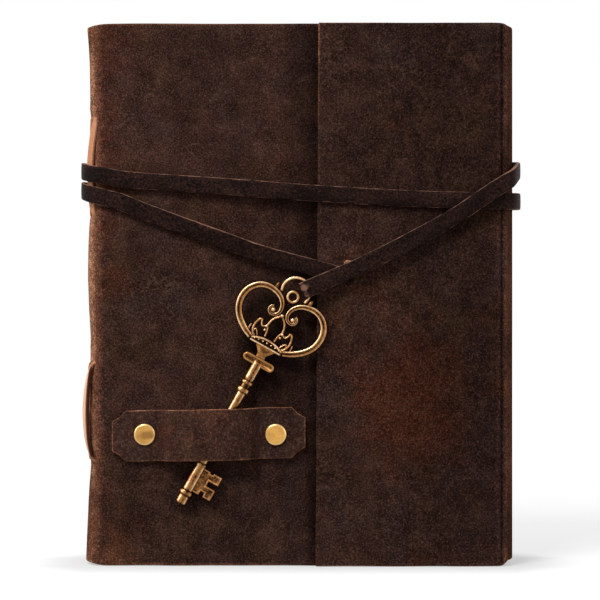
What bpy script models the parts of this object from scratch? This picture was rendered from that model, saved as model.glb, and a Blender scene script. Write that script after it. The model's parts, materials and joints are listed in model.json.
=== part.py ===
"""A leather tie journal: a soft hide cover with a wrap flap, sewn paper signatures,
a wound lace and an ornamental key tucked under a riveted keeper strap.

Sizes are millimetres until MM turns them into metres. +Z is up, the front faces -Y and the
spine is at -X. The book frame has the middle of the book's thickness at Y = 0; one empty
moves the whole journal so that the middle of its base is at the origin.
"""

import math

import bmesh
import bpy
from mathutils import Matrix, Vector
from mathutils.kdtree import KDTree

MM = 0.001

# Fits
CLEAR = 0.3
HINGE_LIFT = 0.05

# The hide: front cover, spine, back cover, fore-edge fold and flap
HIDE_HEIGHT = 200.0
LEATHER = 2.0
BOOK_DEPTH = 28.0
SPINE_X = -79.4
SPINE_ROUND = 9.0
FORE_X = 74.35
FOLD_BULGE = 4.95
COVER_INSET = 4.0
COVER_CORNER = 3.0
FLAP_REACH_HEAD = 67.5
FLAP_REACH_TAIL = 68.6

# The paper
SIGNATURES = 4
PAGE_MARGIN = 2.5
PAGE_INSET = 4.0
FORE_POINT = 1.4
LEAVES = 3
LEAF_THICK = 0.4
LEAF_ROOT = 6.0
LEAF_STEP = 2.5
LEAF_GAP = 0.75

# The sewing thongs
THONG_WIDTH = 3.4
THONG_THICK = 0.9
THONG_BEND = 0.9
THONG_TAIL = 8.0
STITCH_Z = (38.0, 75.0, 129.0, 166.0)
BOW_LOWER = 2.4
BOW_UPPER = 0.15

# The keeper strap and its two rivets
KEEPER_X = -33.6
KEEPER_Z = 48.5
KEEPER_LENGTH = 71.2
KEEPER_HEIGHT = 18.8
KEEPER_THICK = 1.8
KEEPER_CLIP_X = 5.0
KEEPER_CLIP_Z = 3.9
KEEPER_CLIP_DIP = 0.35
KEEPER_FLAT_LEFT = 9.6
KEEPER_FLAT_RIGHT = 11.3
KEEPER_SEAT = 0.75
RIVET_INSET = 11.45
RIVET_CAP_R = 4.1
RIVET_CAP_DOME = 0.9
RIVET_POST_R = 1.3
RIVET_BACK_R = 3.4
RIVET_BACK_THICK = 0.8
RIVET_SINK = 0.6

# The key, measured along its axis from the tip
KEY_ANGLE = 29.14
KEY_TILT = 1.3
KEY_TIP_X = -44.06
KEY_TIP_Z = 23.4
KEY_PASS = 40.0
TIP_R = 2.15
TIP_LENGTH = 3.5
COLLAR_R = 2.75
COLLAR_LENGTH = 2.0
BARREL_R = 1.9
BARREL_TOP = 15.7
SHANK_R = 1.75
LOWER_BEAD_T = 47.7
LOWER_BEAD_R = 2.6
LOWER_BEAD_LENGTH = 2.1
UPPER_BEAD_T = 50.8
UPPER_BEAD_R = 2.45
UPPER_BEAD_LENGTH = 1.5
NECK_R = 2.05
BAR_T = 59.35
BAR_LENGTH = 12.8
BAR_HEIGHT = 3.5
BAR_DEPTH = 3.0
FLARE_R = 4.0
FLARE_TOP = 65.8
FLARE_FLAT = 0.55
BIT_REACH = 9.2
BIT_BOTTOM = 5.9
BIT_TOP = 15.5
BIT_THICK = 1.8
BAND_HALF = 6.8
BAND_T = 67.0
BAND_RISE = 1.5
LOBE_HALF = 16.2
LOBE_T = 78.0
LOBE_WIRE = 1.3
RING_T = 86.7
RING_R = 2.25
RING_WIRE = 0.42
ARC_T = 88.5
ARC_R = 5.2
ARC_WIRE = 0.6

# The lace
LACE_WIDTH = 6.1
LACE_THICK = 1.5
LACE_STEP = 3.0
LACE_TURN_STEP = 6.0
LACE_STAND = 2.8
LACE_LEAD = 4.5
LACE_LOOP_AT = 40.0
LACE_TAIL = 1.8
LACE_OVER = 0.85
SLIT_X = 17.6
SLIT_Z = 106.2
SLIT_TURN = 15.0

# Points on the lace's three strands at the front, as X and Z, and its heights where it turns
LACE_FIRST = ((4.0, 110.1), (-12.0, 114.5), (-37.0, 123.3), (-59.0, 131.2))
LACE_SECOND = ((37.0, 135.4), (9.0, 137.0), (-15.0, 138.8), (-37.0, 140.4))
LACE_THIRD = ((59.0, 130.2), (44.0, 121.6), (22.0, 110.4))
LACE_SPINE_Z = ((135.2, 141.0), (143.4, 147.6))
LACE_BACK = (((-30.0, 140.4), (20.0, 138.6)), ((-30.0, 148.6), (20.0, 148.6)))
LACE_FOLD_Z = (
    (135.9, 135.6, 135.3, 135.0, 134.8, 134.6, 134.5, 134.4, 134.4),
    (147.4, 147.4, 147.5, 147.4, 147.0, 146.4, 145.4, 142.3, 138.2),
)

# Values that follow from the sizes above
HALF = BOOK_DEPTH / 2
RIVET_PITCH = KEEPER_LENGTH - 2 * RIVET_INSET
KEEPER_RAMP_END = RIVET_PITCH / 2 - RIVET_CAP_R - KEEPER_SEAT
HINGE_X = SPINE_X + SPINE_ROUND
STRAIGHT = HALF - SPINE_ROUND
BLOCK = HALF - LEATHER - CLEAR
PITCH = 2 * BLOCK / SIGNATURES
SIG_R = (PITCH - CLEAR) / 2
COVER_EDGE = FORE_X - COVER_INSET
PAGE_X = COVER_EDGE - PAGE_INSET
FLAP_IN = -(HALF + CLEAR)
FLAP_OUT = FLAP_IN - LEATHER
KEY_Y = -(HALF + CLEAR + COLLAR_R) + math.sin(math.radians(KEY_TILT)) * TIP_LENGTH
TUNNEL = COLLAR_R + SHANK_R + 2 * CLEAR + math.sin(math.radians(KEY_TILT)) * KEY_PASS

LACE_ROUND = SPINE_ROUND + 3 * CLEAR + THONG_THICK + BOW_UPPER + LACE_THICK / 2
LACE_FAR = FORE_X + CLEAR / 2 + FOLD_BULGE + LACE_STAND

COLOURS = {
    "hide": ((0.050, 0.026, 0.016), 0.62, 0.0),
    "lace": ((0.030, 0.016, 0.012), 0.55, 0.0),
    "thong": ((0.560, 0.330, 0.210), 0.70, 0.0),
    "paper": ((0.820, 0.740, 0.590), 0.85, 0.0),
    "rivet": ((0.640, 0.450, 0.190), 0.32, 1.0),
    "key": ((0.430, 0.290, 0.120), 0.38, 1.0),
}


def reset():
    """Empty the scene and make the two collections."""
    for obj in list(bpy.data.objects):
        bpy.data.objects.remove(obj)
    made = []
    for name in ("leather_tie_journal", "journal_cutters"):
        group = bpy.data.collections.new(name)
        bpy.context.scene.collection.children.link(group)
        made.append(group)
    return made


PARTS, CUTTERS = reset()
FRAMES = {}


def frame(name, point, parent=None, turn=None):
    """An empty at a point of the book frame, in millimetres."""
    empty = bpy.data.objects.new(name, None)
    empty.empty_display_size = 0.01
    PARTS.objects.link(empty)
    place = Matrix.Translation(Vector(point) * MM)
    if turn is not None:
        place = place @ turn
    if parent is not None:
        empty.parent = parent
        empty.matrix_local = FRAMES[parent.name].inverted() @ place
    else:
        empty.matrix_local = place
    FRAMES[name] = place
    return empty


def material(name, role):
    colour, rough, metal = COLOURS[role]
    mat = bpy.data.materials.new(name)
    mat.use_nodes = True
    shader = mat.node_tree.nodes["Principled BSDF"]
    shader.inputs["Base Color"].default_value = (*colour, 1.0)
    shader.inputs["Roughness"].default_value = rough
    shader.inputs["Metallic"].default_value = metal
    mat.diffuse_color = (*colour, 1.0)
    return mat


def part(obj, role, parent, local=False):
    """Put an object among the parts, with its material, under its frame."""
    for group in list(obj.users_collection):
        group.objects.unlink(obj)
    PARTS.objects.link(obj)
    obj.data.materials.clear()
    obj.data.materials.append(material(obj.name + "_" + role, role))
    obj.parent = parent
    if not local:
        obj.matrix_local = FRAMES[parent.name].inverted() @ obj.matrix_basis
    return obj


def cutter(obj, parent, local=False):
    """Put an object among the cutters, which aren't part of the journal."""
    for group in list(obj.users_collection):
        group.objects.unlink(obj)
    CUTTERS.objects.link(obj)
    obj.hide_render = True
    obj.display_type = "WIRE"
    obj.parent = parent
    if not local:
        obj.matrix_local = FRAMES[parent.name].inverted() @ obj.matrix_basis
    return obj


def from_bmesh(name, bm):
    mesh = bpy.data.meshes.new(name)
    bmesh.ops.recalc_face_normals(bm, faces=bm.faces)
    bm.to_mesh(mesh)
    bm.free()
    obj = bpy.data.objects.new(name, mesh)
    bpy.context.scene.collection.objects.link(obj)
    return obj


def add_box(bm, low, high, turn=None):
    """A box between two corners, in millimetres."""
    low, high = Vector(low) * MM, Vector(high) * MM
    size = Matrix.Diagonal((*(high - low), 1.0))
    place = Matrix.Translation((low + high) / 2)
    if turn is not None:
        place = place @ turn
    bmesh.ops.create_cube(bm, size=1.0, matrix=place @ size)


def box(name, low, high, turn=None):
    bm = bmesh.new()
    add_box(bm, low, high, turn)
    return from_bmesh(name, bm)


def to_mesh(curve):
    """A curve object made into a mesh, with its caps welded."""
    bpy.context.view_layer.update()
    graph = bpy.context.evaluated_depsgraph_get()
    mesh = bpy.data.meshes.new_from_object(curve.evaluated_get(graph))
    bm = bmesh.new()
    bm.from_mesh(mesh)
    bmesh.ops.remove_doubles(bm, verts=bm.verts, dist=1e-6)
    bpy.data.meshes.remove(mesh)
    name, place = curve.name, curve.matrix_world.copy()
    data = curve.data
    bpy.data.objects.remove(curve)
    bpy.data.curves.remove(data)
    obj = from_bmesh(name, bm)
    obj.matrix_world = place
    return obj


def outline(name, points, low, high, upright=False):
    """A flat outline in millimetres with a thickness.

    The points are X and Y, and the thickness runs along Z. An upright outline has points in
    X and Z, and its thickness runs along Y.
    """
    data = bpy.data.curves.new(name, "CURVE")
    data.dimensions = "2D"
    data.fill_mode = "BOTH"
    data.extrude = (high - low) / 2 * MM
    spline = data.splines.new("POLY")
    spline.points.add(len(points) - 1)
    for point, (a, b) in zip(spline.points, points):
        point.co = (a * MM, b * MM, 0.0, 1.0)
    spline.use_cyclic_u = True
    curve = bpy.data.objects.new(name, data)
    bpy.context.scene.collection.objects.link(curve)
    middle = (low + high) / 2 * MM
    if upright:
        curve.matrix_world = Matrix.Translation((0, middle, 0)) @ Matrix.Rotation(math.pi / 2, 4, "X")
    else:
        curve.matrix_world = Matrix.Translation((0, 0, middle))
    obj = to_mesh(curve)
    obj.data.transform(obj.matrix_world)
    obj.matrix_world = Matrix()
    return obj


def smooth_line(points, per_span, axes=2):
    """Points on a smooth curve through the given ones, with the values past the axes carried along.

    The spans are weighed by the root of their length, so the curve doesn't swing past a corner.
    """
    first = [2 * p - q for p, q in zip(points[0], points[1])]
    last = [2 * p - q for p, q in zip(points[-1], points[-2])]
    ends = [first, *points, last]
    weigh = [math.sqrt(math.dist(p[:axes], q[:axes])) for p, q in zip(ends, ends[1:])]
    line = []
    for i in range(len(points) - 1):
        a, b, c, d = ends[i : i + 4]
        h, m, n = weigh[i : i + 3]
        for step in range(per_span):
            u = step / per_span
            spot = []
            for k in range(len(b)):
                mid = (c[k] - b[k]) / m
                leave = m * ((b[k] - a[k]) / h - (c[k] - a[k]) / (h + m) + mid)
                reach = m * (mid - (d[k] - b[k]) / (m + n) + (d[k] - c[k]) / n)
                hermite = (2 * u**3 - 3 * u * u + 1) * b[k] + (3 * u * u - 2 * u**3) * c[k]
                spot.append(hermite + (u**3 - 2 * u * u + u) * leave + (u**3 - u * u) * reach)
            line.append(spot)
    line.append(list(points[-1]))
    return line


def wire(name, points, closed=False, rings=2):
    """A round wire through points of x, z and radius in the key's own plane."""
    data = bpy.data.curves.new(name, "CURVE")
    data.dimensions = "3D"
    data.bevel_depth = MM
    data.bevel_resolution = rings
    data.use_fill_caps = not closed
    spline = data.splines.new("POLY")
    spline.points.add(len(points) - 1)
    for point, (x, z, radius) in zip(spline.points, points):
        point.co = (x * MM, 0.0, z * MM, 1.0)
        point.radius = radius
    spline.use_cyclic_u = closed
    curve = bpy.data.objects.new(name, data)
    bpy.context.scene.collection.objects.link(curve)
    return to_mesh(curve)


def turned(name, profile, steps=24, closed=False):
    """A turned piece about its own Z axis, from a profile of radius and height, top to bottom."""
    bm = bmesh.new()
    verts = [bm.verts.new((r * MM, 0.0, z * MM)) for r, z in profile]
    for a, b in zip(verts, verts[1:]):
        bm.edges.new((a, b))
    if closed:
        bm.edges.new((verts[-1], verts[0]))
    mesh = bpy.data.meshes.new(name)
    bm.to_mesh(mesh)
    bm.free()
    obj = bpy.data.objects.new(name, mesh)
    bpy.context.scene.collection.objects.link(obj)
    screw = obj.modifiers.new("turn", "SCREW")
    screw.axis = "Z"
    screw.angle = 2 * math.pi
    screw.steps = steps
    screw.render_steps = steps
    screw.use_merge_vertices = True
    screw.merge_threshold = 0.000001
    screw.use_smooth_shade = True
    return obj


def plug(radius, top, bottom):
    """The profile of a plain round plug."""
    return [(0.0, top), (radius, top), (radius, bottom), (0.0, bottom)]


def boolean(obj, other, how):
    mod = obj.modifiers.new(how.lower() + "_" + other.name, "BOOLEAN")
    mod.operation = how
    mod.solver = "EXACT"
    mod.object = other
    return mod


def ribbon(name, stations, thick):
    """A strip of leather: an open ribbon between pairs of edge points, given thickness."""
    bm = bmesh.new()
    bmesh.ops.create_grid(bm, x_segments=1, y_segments=len(stations) - 1, size=1.0)
    ordered = sorted(bm.verts, key=lambda v: (round(v.co.y, 6), v.co.x))
    for i, (left, right) in enumerate(stations):
        ordered[2 * i].co = left * MM
        ordered[2 * i + 1].co = right * MM
    obj = from_bmesh(name, bm)
    shell = obj.modifiers.new("thickness", "SOLIDIFY")
    shell.thickness = thick * MM
    shell.offset = 0.0
    return obj


def spine_wall(y, inset=0.0):
    """X of the spine's surface at a depth y, inset from its outer face."""
    past = max(0.0, abs(y) - STRAIGHT)
    return HINGE_X - math.sqrt(max(0.0, (SPINE_ROUND - inset) ** 2 - past**2))


def spine_lean(y):
    """How far the spine's surface has turned towards the front or back at a depth y."""
    past = max(0.0, abs(y) - STRAIGHT)
    return math.copysign(math.asin(min(1.0, past / SPINE_ROUND)), y)


def spine_section(inset, steps):
    """The rounded section of the spine from its front end to its back end."""
    radius = SPINE_ROUND - inset
    points = []
    for i in range(steps + 1):
        a = math.radians(-90.0 - 90.0 * i / steps)
        points.append((HINGE_X + radius * math.cos(a), -STRAIGHT + radius * math.sin(a)))
    for i in range(steps + 1):
        a = math.radians(180.0 - 90.0 * i / steps)
        points.append((HINGE_X + radius * math.cos(a), STRAIGHT + radius * math.sin(a)))
    return points


def fold_section(steps):
    """The bulging section of the fore-edge fold, cut square at its two creases."""
    front, back = FLAP_OUT, HALF
    middle, reach = (front + back) / 2, (back - front) / 2
    start = FORE_X + CLEAR / 2
    outer, inner = [], []
    for i in range(steps + 1):
        y = front + (back - front) * i / steps
        share = (y - middle) / reach
        x = start + FOLD_BULGE * (1 - share * share)
        slope = -2 * FOLD_BULGE * share / reach
        outer.append((x, y))
        run = math.hypot(1.0, slope)
        side = (x - LEATHER / run, y + LEATHER * slope / run)
        if side[0] > start + 0.05:
            inner.append(side)
    return outer + [(start, inner[-1][1])] + inner[::-1] + [(start, inner[0][1])]


def lace_stations(points, step):
    """Edge points along a strip through waypoints that each hold a place and a width hint.

    Stations are a step apart on straight runs and closer together where the strip turns.
    """
    dense = smooth_line(points, 24, axes=3)
    places = [Vector(p[:3]) for p in dense]
    hints = [Vector(p[3:]) for p in dense]
    runs = [b - a for a, b in zip(places, places[1:])]
    measure = [0.0]
    for i, run in enumerate(runs):
        turn = runs[i - 1].angle(run) if i > 0 else 0.0
        measure.append(measure[-1] + run.length + LACE_TURN_STEP * turn)
    count = int(measure[-1] / step)
    stations, at = [], 0
    for i in range(count + 1):
        goal = measure[-1] * i / count
        while at < len(measure) - 2 and measure[at + 1] < goal:
            at += 1
        share = (goal - measure[at]) / max(1e-9, measure[at + 1] - measure[at])
        place = places[at].lerp(places[at + 1], share)
        hint = hints[at].lerp(hints[at + 1], share)
        before, after = places[max(0, at - 2)], places[min(len(places) - 1, at + 3)]
        way = (after - before).normalized()
        across = (hint - way * hint.dot(way)).normalized()
        stations.append((place - across * LACE_WIDTH / 2, place + across * LACE_WIDTH / 2))
    return stations, sum(run.length for run in runs)


def least_gap(stations, thick, skip):
    """The least gap between the faces of parts of a strip that aren't next to each other."""
    points, along = [], 0.0
    for (a, b), (c, d) in zip(stations, stations[1:]):
        run = ((c + d) / 2 - (a + b) / 2).length
        face = (c - a).cross(b - a).normalized() * thick / 2
        for share in (0.0, 0.25, 0.5, 0.75):
            left, right = a.lerp(c, share), b.lerp(d, share)
            for i in range(13):
                middle = left.lerp(right, i / 12)
                points.append((along + run * share, middle + face))
                points.append((along + run * share, middle - face))
        along += run
    tree = KDTree(len(points))
    for n, (_, p) in enumerate(points):
        tree.insert(p, n)
    tree.balance()
    best = 2.0
    for where, p in points:
        for _, n, far in tree.find_range(p, best):
            if abs(points[n][0] - where) > skip:
                best = min(best, far)
    return best


# The frames that carry the moving pieces
BASE_LEFT = SPINE_X - CLEAR - THONG_THICK - BOW_LOWER
BASE_RIGHT = LACE_FAR + LACE_THICK / 2
BASE_FRONT = -(HALF + TUNNEL + KEEPER_THICK)
BASE_BACK = STRAIGHT + LACE_ROUND + LACE_THICK / 2
JOURNAL = frame("journal_base", (0.0, 0.0, 0.0))
COVER_HINGE = frame("cover_hinge", (HINGE_X + CLEAR / 2, -HALF - HINGE_LIFT, 0.0), JOURNAL)
FOLD_HINGE = frame("fold_hinge", (FORE_X, HALF + HINGE_LIFT, 0.0), JOURNAL)
FLAP_HINGE = frame("flap_hinge", (FORE_X, FLAP_OUT - HINGE_LIFT, 0.0), FOLD_HINGE)
KEY_TURN = Matrix.Rotation(math.radians(KEY_ANGLE), 4, "Y")
KEY_TURN = KEY_TURN @ Matrix.Rotation(math.radians(KEY_TILT), 4, "X")
KEY_FRAME = frame("key_slide", (KEY_TIP_X, KEY_Y, KEY_TIP_Z), COVER_HINGE, KEY_TURN)


def make_hide():
    """The cover pieces of the one hide, parted at the creases where it bends."""
    rivets = [KEEPER_X - RIVET_PITCH / 2, KEEPER_X + RIVET_PITCH / 2]

    back = box("back_cover", (HINGE_X + CLEAR, HALF - LEATHER, 0), (FORE_X - CLEAR / 2, HALF, HIDE_HEIGHT))
    part(back, "hide", JOURNAL)

    section = spine_section(0.0, 8) + spine_section(LEATHER, 8)[::-1]
    spine = part(outline("spine", section, 0, HIDE_HEIGHT), "hide", JOURNAL)
    bm = bmesh.new()
    for k in range(SIGNATURES):
        y = signature_y(k)
        for z in STITCH_Z:
            half = (THONG_WIDTH / 2 + CLEAR, THONG_THICK / 2 + CLEAR)
            low = (spine_wall(y) - 3.0, y - half[0], z - half[1])
            high = (spine_wall(y, LEATHER) + 1.5, y + half[0], z + half[1])
            add_box(bm, low, high)
    slits = cutter(from_bmesh("spine_slits", bm), JOURNAL)
    boolean(spine, slits, "DIFFERENCE")

    left, right, top = HINGE_X + CLEAR, COVER_EDGE, HIDE_HEIGHT - CLEAR
    corner = [(left, 0.0)]
    for z, first in ((COVER_CORNER, -90), (top - COVER_CORNER, 0)):
        for i in range(5):
            a = math.radians(first + 90 * i / 4)
            x = right - COVER_CORNER + COVER_CORNER * math.cos(a)
            corner.append((x, z + COVER_CORNER * math.sin(a)))
    corner.append((left, top))
    front = part(outline("front_cover", corner, -HALF, -HALF + LEATHER, upright=True), "hide", COVER_HINGE)
    for x, side in zip(rivets, ("left", "right")):
        hole = turned("cover_hole_" + side, plug(RIVET_POST_R + CLEAR, 2 * LEATHER, -2 * LEATHER))
        deep = RIVET_SINK + CLEAR
        seat = turned("cover_seat_" + side, plug(RIVET_BACK_R + CLEAR, deep, -LEATHER))
        for obj, y in ((hole, -HALF + LEATHER / 2), (seat, -HALF + LEATHER)):
            turn = Matrix.Rotation(math.pi / 2, 4, "X")
            obj.matrix_world = Matrix.Translation(Vector((x, y, KEEPER_Z)) * MM) @ turn
            boolean(front, cutter(obj, JOURNAL), "DIFFERENCE")

    fold = part(outline("fore_edge_fold", fold_section(18), 0, HIDE_HEIGHT), "hide", FOLD_HINGE)
    edge = [
        (FORE_X - CLEAR / 2, 0.0),
        (FORE_X - CLEAR / 2, HIDE_HEIGHT),
        (FORE_X - FLAP_REACH_HEAD, HIDE_HEIGHT),
        (FORE_X - FLAP_REACH_TAIL, 0.0),
    ]
    flap = part(outline("flap", edge, FLAP_OUT, FLAP_IN, upright=True), "hide", FLAP_HINGE)
    turn = Matrix.Rotation(math.radians(SLIT_TURN), 4, "Y")
    half = (LACE_THICK / 2 + CLEAR, LACE_WIDTH / 2 + CLEAR)
    low = (SLIT_X - half[0], FLAP_OUT - 2.0, SLIT_Z - half[1])
    high = (SLIT_X + half[0], FLAP_IN + 2.0, SLIT_Z + half[1])
    boolean(flap, cutter(box("lace_slit", low, high, turn), JOURNAL), "DIFFERENCE")
    return fold


def signature_y(k):
    return -BLOCK + PITCH * (k + 0.5)


def signature_x(k):
    """X of the centre of a signature's rounded fold, seated inside the spine."""
    past = max(0.0, abs(signature_y(k)) - STRAIGHT)
    room = SPINE_ROUND - LEATHER - CLEAR - SIG_R
    return HINGE_X - math.sqrt(max(0.0, room**2 - past**2))


def leaf_root(i):
    return HINGE_X + LEAF_ROOT + i * LEAF_STEP


def leaf_y(i):
    return signature_y(0) - SIG_R + LEAF_THICK / 2 + i * (LEAF_THICK + CLEAR)


def make_paper():
    """Folded signatures with pierced sewing stations, and the first leaves that turn."""
    low, high = PAGE_MARGIN, HIDE_HEIGHT - PAGE_MARGIN
    for k in range(SIGNATURES):
        x, y = signature_x(k), signature_y(k)
        points = []
        for i in range(9):
            a = math.radians(90 + 180 * i / 8)
            points.append((x + SIG_R * math.cos(a), y + SIG_R * math.sin(a)))
        face = y - SIG_R
        if k == 0:
            for i in range(LEAVES):
                step = leaf_root(i) - LEAF_GAP
                points.append((step, face))
                face += LEAF_THICK + CLEAR
                points.append((step, face))
        points += [(PAGE_X, face), (PAGE_X + FORE_POINT, (face + y + SIG_R) / 2), (PAGE_X, y + SIG_R)]
        body = part(outline(f"signature_{k + 1}", points, low, high), "paper", JOURNAL)
        wide = THONG_WIDTH / 2 + CLEAR
        lean = abs(math.sin(spine_lean(y))) * THONG_WIDTH / 2
        deep = THONG_THICK / 2 + CLEAR + lean
        tunnel_low = (x - deep, y - wide, STITCH_Z[0] - THONG_TAIL - CLEAR)
        tunnel_high = (x + deep, y + wide, STITCH_Z[-1] + THONG_TAIL + CLEAR)
        tunnel = box(f"thong_run_{k + 1}", tunnel_low, tunnel_high)
        bm = bmesh.new()
        for z in STITCH_Z:
            half = THONG_THICK / 2 + CLEAR
            add_box(bm, (x - SIG_R - 1.0, y - wide, z - half), (x + deep - 0.05, y + wide, z + half))
        for obj in (tunnel, from_bmesh(f"thong_stations_{k + 1}", bm)):
            boolean(body, cutter(obj, JOURNAL), "DIFFERENCE")

    for i in range(LEAVES):
        pivot = frame(f"leaf_hinge_{i + 1}", (leaf_root(i), leaf_y(i), 0.0), JOURNAL)
        near = (leaf_root(i), leaf_y(i) - LEAF_THICK / 2, low)
        far = (PAGE_X, leaf_y(i) + LEAF_THICK / 2, high)
        part(box(f"leaf_{i + 1}", near, far), "paper", pivot)


def rounded_path(points, radius, steps=4):
    """A path of straight runs with its corners rounded."""
    path = [points[0]]
    for a, b, c in zip(points, points[1:], points[2:]):
        a, b, c = Vector(a), Vector(b), Vector(c)
        first, last = b + (a - b).normalized() * radius, b + (c - b).normalized() * radius
        for i in range(steps + 1):
            u = i / steps
            path.append(first * (1 - u) ** 2 + b * 2 * u * (1 - u) + last * u * u)
    path.append(points[-1])
    return [Vector(p) for p in path]


def make_thongs():
    """One thong sews each signature: two long stitches outside the spine, a run inside the fold."""
    for k in range(SIGNATURES):
        x, y = signature_x(k), signature_y(k)
        lean = spine_lean(y)
        outside = spine_wall(y) - (CLEAR + THONG_THICK / 2) / math.cos(lean)
        corners = [(x, STITCH_Z[0] - THONG_TAIL)]
        for n, z in enumerate(STITCH_Z):
            pair = [(x, z), (outside, z)]
            corners += pair if n % 2 == 0 else pair[::-1]
        corners.append((x, STITCH_Z[-1] + THONG_TAIL))
        path = rounded_path([(a, 0.0, b) for a, b in corners], THONG_BEND)
        fine = []
        for a, b in zip(path, path[1:]):
            runs = max(1, int((b - a).length / 4.0))
            fine += [a.lerp(b, i / runs) for i in range(runs)]
        fine.append(path[-1])
        across = Vector((math.sin(lean), math.cos(lean), 0.0)) * THONG_WIDTH / 2
        stations = []
        for p in fine:
            for first, bow in ((0, BOW_LOWER), (2, BOW_UPPER)):
                share = (p.z - STITCH_Z[first]) / (STITCH_Z[first + 1] - STITCH_Z[first])
                if abs(p.x - outside) < 1e-4 and 0.0 < share < 1.0:
                    p = Vector((p.x - bow * math.sin(math.pi * share), 0.0, p.z))
            p = Vector((p.x, y, p.z))
            stations.append((p - across, p + across))
        part(ribbon(f"binding_thong_{k + 1}", stations, THONG_THICK), "thong", JOURNAL)


def ease(u):
    u = min(1.0, max(0.0, u))
    return u * u * (3 - 2 * u)


def keeper_lift(x, spread=0.0):
    """How far the strap stands off the cover at a distance from its middle."""
    flat = spread + (KEEPER_FLAT_RIGHT if x > 0 else KEEPER_FLAT_LEFT)
    end = spread + KEEPER_RAMP_END
    return CLEAR + (TUNNEL - CLEAR) * ease((end - abs(x)) / (end - flat))


def make_keeper():
    """The arched strap that holds the key, with clipped corners and two rivets."""
    length, rows = KEEPER_LENGTH / 2, 48
    spread = 0.4 * KEEPER_THICK
    inner, outer = [], []
    for i in range(rows + 1):
        x = -length - 1.0 + (KEEPER_LENGTH + 2.0) * i / rows
        inner.append((KEEPER_X + x, -HALF - keeper_lift(x)))
        outer.append((KEEPER_X + x, -HALF - keeper_lift(x, spread) - KEEPER_THICK))
    tall = KEEPER_HEIGHT / 2 + 1.0
    strap = outline("key_keeper", inner + outer[::-1], KEEPER_Z - tall, KEEPER_Z + tall)
    part(strap, "hide", COVER_HINGE)
    spot = []
    for sx, sz in ((-1, -1), (1, -1), (1, 1), (-1, 1)):
        end = (sx * length, sz * (KEEPER_HEIGHT / 2 - KEEPER_CLIP_Z))
        dip_x = length - KEEPER_CLIP_X / 2 - KEEPER_CLIP_DIP
        dip_z = KEEPER_HEIGHT / 2 - KEEPER_CLIP_Z / 2 - KEEPER_CLIP_DIP
        dip = (sx * dip_x, sz * dip_z)
        side = (sx * (length - KEEPER_CLIP_X), sz * KEEPER_HEIGHT / 2)
        spot += [end, dip, side] if sx * sz > 0 else [side, dip, end]
    shape = [(KEEPER_X + x, KEEPER_Z + z) for x, z in spot]
    front = -HALF - TUNNEL - 2 * KEEPER_THICK
    blank = outline("keeper_outline", shape, front, -HALF + LEATHER, upright=True)
    boolean(strap, cutter(blank, JOURNAL), "INTERSECT")

    turn = Matrix.Rotation(math.pi / 2, 4, "X")
    for side, sign in (("left", -1), ("right", 1)):
        x = KEEPER_X + sign * RIVET_PITCH / 2
        reach = 2 * KEEPER_THICK
        hole = turned("keeper_hole_" + side, plug(RIVET_POST_R + CLEAR, reach, -reach))
        hole.matrix_world = Matrix.Translation(Vector((x, -HALF - CLEAR, KEEPER_Z)) * MM) @ turn
        boolean(strap, cutter(hole, JOURNAL), "DIFFERENCE")

        seat = CLEAR + KEEPER_THICK + CLEAR
        post = seat + LEATHER - RIVET_SINK + RIVET_BACK_THICK - CLEAR
        shape = ((0.0, 1.0), (0.55, 0.93), (0.86, 0.72), (1.0, 0.3), (0.97, 0.0))
        profile = [(r * RIVET_CAP_R, h * RIVET_CAP_DOME) for r, h in shape]
        profile += [(RIVET_POST_R, 0.0), (RIVET_POST_R, -post), (0.0, -post)]
        cap = turned("rivet_cap_" + side, profile)
        cap.matrix_world = Matrix.Translation(Vector((x, -HALF - seat, KEEPER_Z)) * MM) @ turn
        part(cap, "rivet", COVER_HINGE)
        bore, wide, thick = RIVET_POST_R + CLEAR / 2, RIVET_BACK_R, RIVET_BACK_THICK
        ring = [(bore, thick), (wide, thick), (wide, 0.25 * thick), (0.93 * wide, 0.0), (bore, 0.0)]
        back = turned("rivet_back_" + side, ring, closed=True)
        y = -HALF + LEATHER - RIVET_SINK + thick
        back.matrix_world = Matrix.Translation(Vector((x, y, KEEPER_Z)) * MM) @ turn
        part(back, "rivet", COVER_HINGE)


def bead(t, length, radius, root):
    """The profile of a rounded ring round the shank, top to bottom."""
    half = length / 2
    profile = [(root, t + half)]
    for i in range(1, 6):
        a = math.pi * i / 6
        profile.append((root + (radius - root) * math.sin(a) ** 0.5, t + half * math.cos(a)))
    return profile + [(root, t - half)]


def mirrored(points):
    return [(-x, z, r) for x, z, r in points]


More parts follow.
